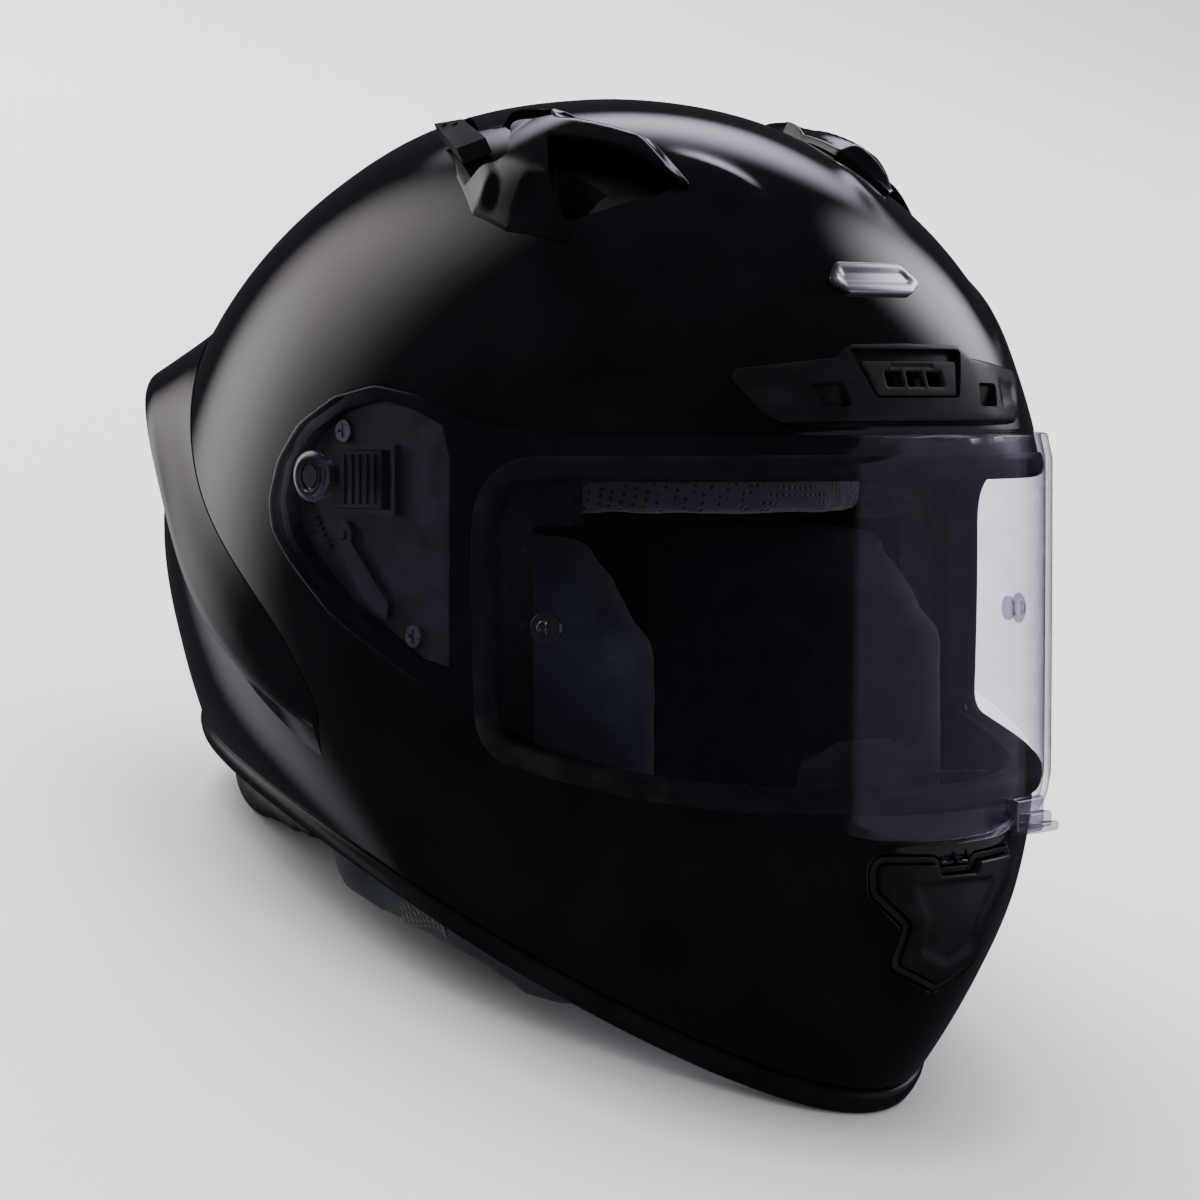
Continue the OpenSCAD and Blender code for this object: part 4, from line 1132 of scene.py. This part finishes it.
# Places on the sheet of the pivot and of the anti-fog pins, and the radii of their holes
PIVOT_S = float(np.interp(0, SHEET_P[:, 1], SHEET_S))
PIN_A, PIN_Z = 57, -47.0
PIN_S = float(np.interp(PIN_A, SHEET_A, SHEET_S))
PIVOT_HOLE, PIN_HOLE = 6.15, 2.7
BEND, BEND_FALL = 8.5, 1.7  # width and depth of the visor's bent upper edge


def visor_half():
    """Outer and inner faces and triangles of the visor's left half."""
    edge = sheet_map(VISOR_EDGE)
    edge[0, 0] = edge[-1, 0] = 0
    middle = np.linspace(edge[-1, 1], edge[0, 1], 80)[1:-1]
    outline = np.concatenate([edge, np.stack([np.zeros(78), middle], 1)])
    loop = np.concatenate([edge, [[-30, edge[-1, 1]], [-30, edge[0, 1]]]])
    ring, pin = round_hole(PIVOT_S, 0, PIVOT_HOLE), round_hole(PIN_S, PIN_Z, PIN_HOLE, 20)
    rows = [clipped(inset(loop, k)) for k in (0.25, 0.6, 1.1, 2.5, BEND - 0.6, BEND, BEND + 0.6)]
    rows += [(round_hole(PIVOT_S, 0, PIVOT_HOLE + k), True) for k in (0.3, 0.8)]
    points, faces = triangles(outline, [ring, pin], rows, spacing=2.2, keep_off=0.4)
    s = depth_in(points, loop)
    upper = smoothstep(points[:, 1], -30, -10) * (1 - smoothstep(points[:, 0], 150, 185))
    lower = 1 - smoothstep(points[:, 1], -90, -70)
    fall = BEND_FALL * upper * np.clip(1 - s / BEND, 0, 1) + 0.9 * lower * np.clip(1 - s / 5, 0, 1)
    near = np.minimum(s, np.minimum(distance(points, ring), distance(points, pin)))
    edge_round = quarter_round(near, 0.8, 0.7)
    top = sheet_point(points, -fall - edge_round)
    bottom = sheet_point(points, -VISOR_WALL - fall + edge_round)
    return top, bottom, faces


made("visor_pane", *whole(*visor_half()), VISOR, "visor_panel", "visor_clear", "visor", smooth=35)


# The seal's section: distance outside the eye port's edge, and height against the visor's outer face.
SEAL = [
    (5.2, -4.2), (5.0, -3.6), (4.2, -3.25), (3.0, -3.05), (1.6, -2.85), (0.4, -2.8), (-0.8, -3.0),
    (-2.0, -3.7), (-2.8, -4.9), (-3.1, -6.4), (-2.9, -8.0), (-2.3, -9.6), (-2.2, -11.0), (-2.8, -12.2),
    (-2.7, -13.6), (-1.6, -14.4), (-0.2, -14.2), (0.6, -13.0), (0.8, -10.5), (0.9, -8.8), (3.2, -8.0),
    (5.2, -7.2)
]


def seal():
    """The seal's section carried round the eye port."""
    edge = sheet_map(EYEPORT, 2.2)
    edge[0, 0] = edge[-1, 0] = 0
    loop = np.concatenate([edge, (edge[1:-1] * [-1, 1])[::-1]])
    along = unit(np.roll(loop, -1, 0) - np.roll(loop, 1, 0))
    for _ in range(3):
        along = unit(np.roll(along, 1, 0) + 2 * along + np.roll(along, -1, 0))
    outward = np.stack([along[:, 1], -along[:, 0]], 1) * direction(loop)
    rows = []
    for away, height in SEAL:
        spots = loop + outward * away
        side = np.where(spots[:, :1] < 0, -1.0, 1.0)
        where = sheet_point(np.abs(spots) * [1, 0] + spots * [0, 1], np.full(len(spots), height))
        rows.append(where * (side * [1, 0, 0] + [0, 1, 1]))
    return loft(np.stack(rows, 1))


made("port_seal", *seal(), RUBBER, "eyeport_seal", "seal_rubber", smooth=50)


def lathe(profile, count):
    """Solid of revolution about the first axis, from (radius, place along the axis) points."""
    turn = np.linspace(0, 2 * math.pi, count + 1)[:-1]
    rows = []
    for radius, along in profile:
        rows.append(np.stack([np.full(count, along), radius * np.cos(turn), radius * np.sin(turn)], 1))
    return loft(np.stack(rows, 1))


# Clear ring round each pivot boss, moulded in steps
made_pair("pivot_cap", *lathe([
    (3.8, 124.2), (7.0, 124.2), (7.4, 124.5), (7.4, 125.7), (7.1, 126.0), (6.1, 126.0), (6.1, 127.2),
    (7.9, 127.35), (8.3, 127.9), (8.2, 128.8), (7.4, 129.5), (6.3, 129.9), (5.2, 129.8), (4.6, 129.2),
    (4.3, 128.2), (3.8, 127.9)
], 56), CLEAR, "pivot_ring", "clear_moulding", "visor")


def pins():
    """Anti-fog pins: a domed head with a screw slot outside, a washer inside."""
    points, faces = lathe([
        (0.02, 2.5), (1.2, 2.4), (2.2, 2.2), (2.5, 1.9), (2.6, 1.4), (4.6, 1.3), (5.1, 1.0), (5.2, 0.5),
        (2.6, 0.35), (2.5, -2.4), (4.0, -2.5), (4.2, -2.9), (4.1, -3.9), (2.6, -4.1), (0.02, -4.1)
    ], 32)
    slot_cut = (np.abs(points[:, 1]) < 0.5) & (points[:, 0] > 1.6)
    points[slot_cut, 0] -= 0.7
    p = visor_point(PIN_A, PIN_Z)
    tangent = unit(visor_point(PIN_A + 1, PIN_Z) - p)
    out = np.cross([0, 0, 1.0], tangent)
    out = unit(-out if out @ [1, -1, 0] < 0 else out)
    across = np.cross(out, tangent)
    where = p + points[:, :1] * out + points[:, 1:2] * tangent + points[:, 2:] * across
    return both(where, faces)


made("fog_pins", *pins(), CLEAR, "visor_pins", "clear_moulding", "visor")


def rounded_block(corners, size):
    """Convex solid round the given points, its edges rounded by a bevel."""
    bm = bmesh.new()
    for corner in corners:
        bm.verts.new([c * 0.001 for c in corner])
    bmesh.ops.convex_hull(bm, input=bm.verts)
    bmesh.ops.dissolve_limit(bm, angle_limit=0.05, verts=bm.verts, edges=bm.edges)
    bmesh.ops.bevel(bm, geom=bm.edges[:], offset=size * 0.001, segments=3, profile=0.6, affect="EDGES")
    bmesh.ops.triangulate(bm, faces=bm.faces)
    points = np.array([tuple(v.co) for v in bm.verts]) * 1000
    faces = [[v.index for v in f.verts] for f in bm.faces]
    bm.free()
    return points, faces


TAB_A, TAB_Z = 18, -111


def lock_tab():
    """Lift tab on the visor's lower edge: a curved wedge with a finger lip."""
    middle = visor_point(TAB_A, TAB_Z, 0.3)
    out = unit(visor_point(TAB_A, TAB_Z, 1.0) - visor_point(TAB_A, TAB_Z, 0.0))
    along = unit(visor_point(TAB_A + 1, TAB_Z) - visor_point(TAB_A - 1, TAB_Z))
    parts = []
    for across, rise, reach in (
        ((-13, 13), (-6.5, 6.0), (0.0, 2.2)), ((-10, 11), (-5.0, 1.0), (1.0, 5.6)),
        ((-8, 9.5), (-6.2, -2.6), (3.0, 8.6)),
    ):
        corners = []
        for x in across:
            for z in rise:
                for d in reach:
                    taper = 0.82 if d == reach[1] else 1.0
                    corners.append(middle + along * x * taper + out * d + np.array([0, 0, z * taper]))
        parts.append(rounded_block(corners, 0.9))
    points, faces = [], []
    for part, its_faces in parts:
        faces += [[i + sum(map(len, points)) for i in f] for f in its_faces]
        points.append(part)
    return np.concatenate(points), faces


made("lock_tab", *lock_tab(), CLEAR, "visor_lock_tab", "clear_moulding", "visor", smooth=40)


# The boxy carried pieces get their moulded edges from a small bevel.
BEVELS = [("breath_deflector", 1.2), ("visor_latch", 0.35), ("chin_grilles", 0.3)]
for side in ("_right", "_left"):
    BEVELS += [("top_vent_slider" + side, 0.9), ("side_plate" + side, 0.35)]
    BEVELS += [("visor_release" + side, 0.35), ("detent_arm" + side, 0.25)]
for carried, width in BEVELS:
    rounding = frame["nodes"][carried].modifiers.new("rounding", "BEVEL")
    rounding.width = width * 0.001
    rounding.segments = 2
    rounding.limit_method = "ANGLE"
    rounding.angle_limit = math.radians(30)


# Padding ----------------------------------------------------------------------------------------
CLOTH_STEPS, CLOTH_PRESSURE = 20, 3.0
INFLATED = 0.0016  # metres that a cushion's surface may move as it is inflated


def stuffed(node, name, material, seams, voxel=0.0045, sag=0.0, inward=0.0):
    """A cushion from a CAD pad: remeshed, inflated as cloth a little way, its seams drawn in."""
    piece = bpy.data.objects.new(name, frame["nodes"][node].data.copy())
    bpy.context.scene.collection.objects.link(piece)
    bpy.context.view_layer.objects.active = piece
    remesh = piece.modifiers.new("remesh", "REMESH")
    remesh.mode = "VOXEL"
    remesh.voxel_size = voxel
    relax = piece.modifiers.new("relax", "SMOOTH")
    relax.factor, relax.iterations = 0.5, 5
    applied(piece)
    start = per_vertex(piece, "co")
    inflate(piece, seams)
    moved = per_vertex(piece, "co") - start
    length = np.linalg.norm(moved, axis=1, keepdims=True)
    put(piece, start + moved * np.minimum(1, INFLATED / np.maximum(length, 1e-9)))
    fine = piece.modifiers.new("fine", "SUBSURF")
    fine.levels = fine.render_levels = 1
    applied(piece)
    now = per_vertex(piece, "co")
    here = unplace(now)
    sink = np.zeros(len(now))
    for line, width, depth in seams:
        sink = np.maximum(sink, depth * np.exp(-(distance(here, line, closed=False) / width) ** 2))
    here = unplace(now - per_vertex(piece, "normal") * sink[:, None] * 0.001)
    height, aside = here[:, 2].copy(), np.abs(here[:, 0])
    here[:, 2] -= sag * (height.max() - height) / (height.max() - height.min())
    here[:, 0] -= np.sign(here[:, 0]) * inward * (1 - smoothstep(aside, 62, 84))
    now = place(here)
    now[:, 2] = np.maximum(now[:, 2], 0.0)
    put(piece, now)
    finished(piece, material, node, "helmet", 80)


def inflate(piece, seams):
    """Cloth simulation of a cushion under pressure, held along its seams."""
    pin = piece.vertex_groups.new(name="held")
    here = unplace(per_vertex(piece, "co"))
    held = np.any([distance(here, line, closed=False) < width for line, width, _ in seams], axis=0)
    pin.add(np.flatnonzero(held).tolist(), 1.0, "REPLACE")
    sim = piece.modifiers.new("cloth", "CLOTH")
    settings = sim.settings
    settings.quality = 4
    settings.mass = 0.25
    settings.use_pressure = True
    settings.uniform_pressure_force = CLOTH_PRESSURE
    settings.tension_stiffness = 12
    settings.bending_stiffness = 0.4
    settings.vertex_group_mass = "held"
    settings.effector_weights.gravity = 0
    sim.point_cache.frame_end = CLOTH_STEPS
    scene = bpy.context.scene
    scene.frame_start, scene.frame_end = 1, CLOTH_STEPS
    for step in range(1, CLOTH_STEPS + 1):
        scene.frame_set(step)
    applied(piece)
    scene.frame_set(1)


def applied(piece):
    """Turns a piece's modifiers into its mesh."""
    graph = bpy.context.evaluated_depsgraph_get()
    mesh = bpy.data.meshes.new_from_object(piece.evaluated_get(graph))
    piece.modifiers.clear()
    piece.data = mesh


def per_vertex(piece, what):
    """The place ("co") or the normal of each vertex."""
    out = np.empty(len(piece.data.vertices) * 3)
    piece.data.vertices.foreach_get(what, out)
    return out.reshape(-1, 3)


def put(piece, points):
    piece.data.vertices.foreach_set("co", np.asarray(points, np.float32).ravel())
    piece.data.update()


def mirror_seams(seams):
    return [([(-x, y, z) for x, y, z in line], width, depth) for line, width, depth in seams]


# Seams: a line in the upright frame, its width and its depth, all in mm. The left pad is the right
# one's mirror image.
CHEEK_SEAMS = [
    ([(-59, -80, -66), (-60, -52, -58), (-61, -20, -60), (-63, 8, -70), (-66, 30, -92)], 2.4, 2.6),
    ([(-59, -84, -112), (-60, -50, -104), (-61, -16, -106), (-63, 12, -118)], 2.4, 2.4),
    ([(-61, -60, -58), (-61, -58, -80), (-61, -57, -104)], 2.2, 1.8),
    ([(-90, 38, -40), (-89, 0, -38), (-89, -30, -40)], 2.4, 1.5),
]
BROW_SEAMS = [
    ([(-74, -60, 1), (-40, -84, 1), (0, -92, 1), (40, -84, 1), (74, -60, 1)], 1.6, 1.2),
]
LINER_SEAMS = [
    ([(0, -60, 92), (0, -20, 108), (0, 30, 112), (0, 80, 86), (0, 108, 30)], 3.0, 2.2),
    ([(-44, -50, 80), (-50, -10, 92), (-50, 40, 92), (-42, 88, 60)], 3.0, 2.0),
]
LINER_SEAMS += mirror_seams(LINER_SEAMS[1:])
# The neck roll's seams run round the nape, under the rim and inside it.
ROLL_SEAMS = [([tuple(skin([1.0], [a], [-11])[0] - [0, 0, 5]) for a in range(112, 180, 4)], 2.0, 1.6)]
ROLL_SEAMS += mirror_seams(ROLL_SEAMS)

for side, seams in (("right", CHEEK_SEAMS), ("left", mirror_seams(CHEEK_SEAMS))):
    stuffed("cheek_pad_" + side, "cheek_cushion_" + side, PAD, seams, sag=12, inward=8)
stuffed("brow_pad", "brow_cushion", MESH, BROW_SEAMS, voxel=0.004)
stuffed("crown_liner", "crown_cushion", LINING, LINER_SEAMS)
stuffed("neck_roll", "nape_cushion", LEATHER, ROLL_SEAMS, voxel=0.004, sag=15)


# Floor, lights and camera -----------------------------------------------------------------------
FLOOR_REACH = 6.0


def floor_and_world():
    """Pale matt floor, and a world that is bright to the camera and dim in reflections."""
    ground = bpy.data.meshes.new("floor")
    corners = [(x * FLOOR_REACH, y * FLOOR_REACH, 0) for x, y in ((-1, -1), (1, -1), (1, 1), (-1, 1))]
    ground.from_pydata(corners, [], [(0, 1, 2, 3)])
    floor = bpy.data.objects.new("floor", ground)
    bpy.context.scene.collection.objects.link(floor)
    made_of, tree, shader, where = nodes_for("floor_paint")
    paint = ramp(tree, noise(tree, where, 3, 3), (0.86, 0.86, 0.87), (0.90, 0.90, 0.91))
    feed(tree, shader, {"Base Color": paint, "Roughness": 0.9})
    ground.materials.append(made_of)
    floor.visible_glossy = False
    world = bpy.data.worlds.new("studio")
    bpy.context.scene.world = world
    world.use_nodes = True
    tree = world.node_tree
    bright = tree.nodes["Background"]
    feed(tree, bright, {"Color": (0.93, 0.93, 0.96, 1), "Strength": 1.0})
    dim = added(tree, "Background", {"Color": (0.80, 0.78, 0.95, 1), "Strength": 0.035})
    path = added(tree, "LightPath", {}).outputs
    lit = calculated(tree, "MULTIPLY", path["Is Diffuse Ray"], 0.78)
    mix = added(tree, "MixShader", {
        "Fac": calculated(tree, "MAXIMUM", path["Is Camera Ray"], lit),
        1: dim.outputs["Background"], 2: bright.outputs["Background"]
    })
    feed(tree, tree.nodes["World Output"], {"Surface": mix.outputs["Shader"]})


def soft_light(name, where, at, size, power, colour, soft=0.45, mirrored_too=True):
    """A soft box that fades over the outer share of it; where and at are upright millimetres."""
    light = bpy.data.lights.new(name, "AREA")
    light.shape = "RECTANGLE"
    light.size, light.size_y = size
    light.energy = power
    light.color = colour
    light.use_nodes = True
    tree = light.node_tree
    spot = added(tree, "NewGeometry", {}).outputs["Parametric"]
    middle = added(tree, "VectorMath", {0: spot, 1: (0.5, 0.5, 0.0)}, operation="DISTANCE")
    fade = ranged(tree, middle.outputs["Value"], 2.2, 0.0, 0.5 - soft, 0.5)
    fade.node.interpolation_type = "SMOOTHSTEP"
    feed(tree, tree.nodes["Emission"], {"Strength": fade})
    lamp = bpy.data.objects.new(name, light)
    lamp.visible_glossy = mirrored_too
    spot, target = (Vector(place([v])[0]) for v in (where, at))
    lamp.location = spot
    lamp.rotation_euler = (target - spot).to_track_quat("-Z", "Y").to_euler()
    bpy.context.scene.collection.objects.link(lamp)


AZIMUTH, ELEVATION, CAMERA_REACH = math.radians(-44.5), math.radians(0.8), 1750.0
LENS, SENSOR, FRAME = 153.3, 36.0, 1200.0
AIM = (593.0, 472.0)


def camera_axes():
    """The camera's right, up and backward directions before it is aimed, in the upright frame."""
    back = np.array([
        math.sin(AZIMUTH) * math.cos(ELEVATION), -math.cos(AZIMUTH) * math.cos(ELEVATION),
        math.sin(ELEVATION)
    ])
    right = unit(np.cross([0, 0, 1.0], back))
    return right, np.cross(back, right), back


def camera():
    """Camera at the photo's angle: the pivot axis lies AIM (of FRAME) across and down the picture."""
    data = bpy.data.cameras.new("camera")
    data.lens, data.sensor_width = LENS, SENSOR
    data.clip_start, data.clip_end = 0.05, 50
    right, up, back = camera_axes()
    # The picture's middle is turned away from the axis so that no lens shift is needed.
    x = (FRAME / 2 - AIM[0]) / FRAME * SENSOR / LENS
    y = (AIM[1] - FRAME / 2) / FRAME * SENSOR / LENS
    look = unit(-back + right * x + up * y)
    side = unit(np.cross(look, up))
    turn = np.stack([side, np.cross(side, look), -look], 1)
    matrix = np.eye(4)
    matrix[:3, :3] = TURN @ turn
    matrix[:3, 3] = place([back * CAMERA_REACH])[0]
    thing = bpy.data.objects.new("camera", data)
    thing.matrix_world = Matrix(matrix.tolist())
    bpy.context.scene.collection.objects.link(thing)
    bpy.context.scene.camera = thing


floor_and_world()
soft_light("overhead", (0, 500, 2400), (0, 0, 60), (5.0, 5.0), 270, (0.97, 0.96, 1.0), mirrored_too=False)
# The rest stand round the camera: right, up and towards it, then width, height, power, colour, softness.
across, _, toward = camera_axes()
for name, right, up, near, size, power, colour, soft in (
    ("broad_warm", -1280, 800, -480, (1.8, 3.2), 14, (1.0, 0.93, 0.92), 0.45),
    ("rear_low", -1480, -80, -800, (1.4, 2.6), 4.5, (0.93, 0.90, 1.0), 0.45),
    ("top_rim", 150, 1350, -1300, (2.4, 0.9), 8, (0.85, 0.82, 1.0), 0.45),
    ("right_card", 1470, -120, -60, (2.1, 1.5), 1.1, (0.86, 0.84, 1.0), 0.06),
    ("right_rim", 1350, 850, -900, (1.3, 1.6), 10, (0.90, 0.88, 1.0), 0.45),
):
    where = across * right + np.array([0, 0, up]) + toward * near
    soft_light(name, where, (0, 0, -20), size, power, colour, soft)
camera()

bpy.context.view_layer.update()
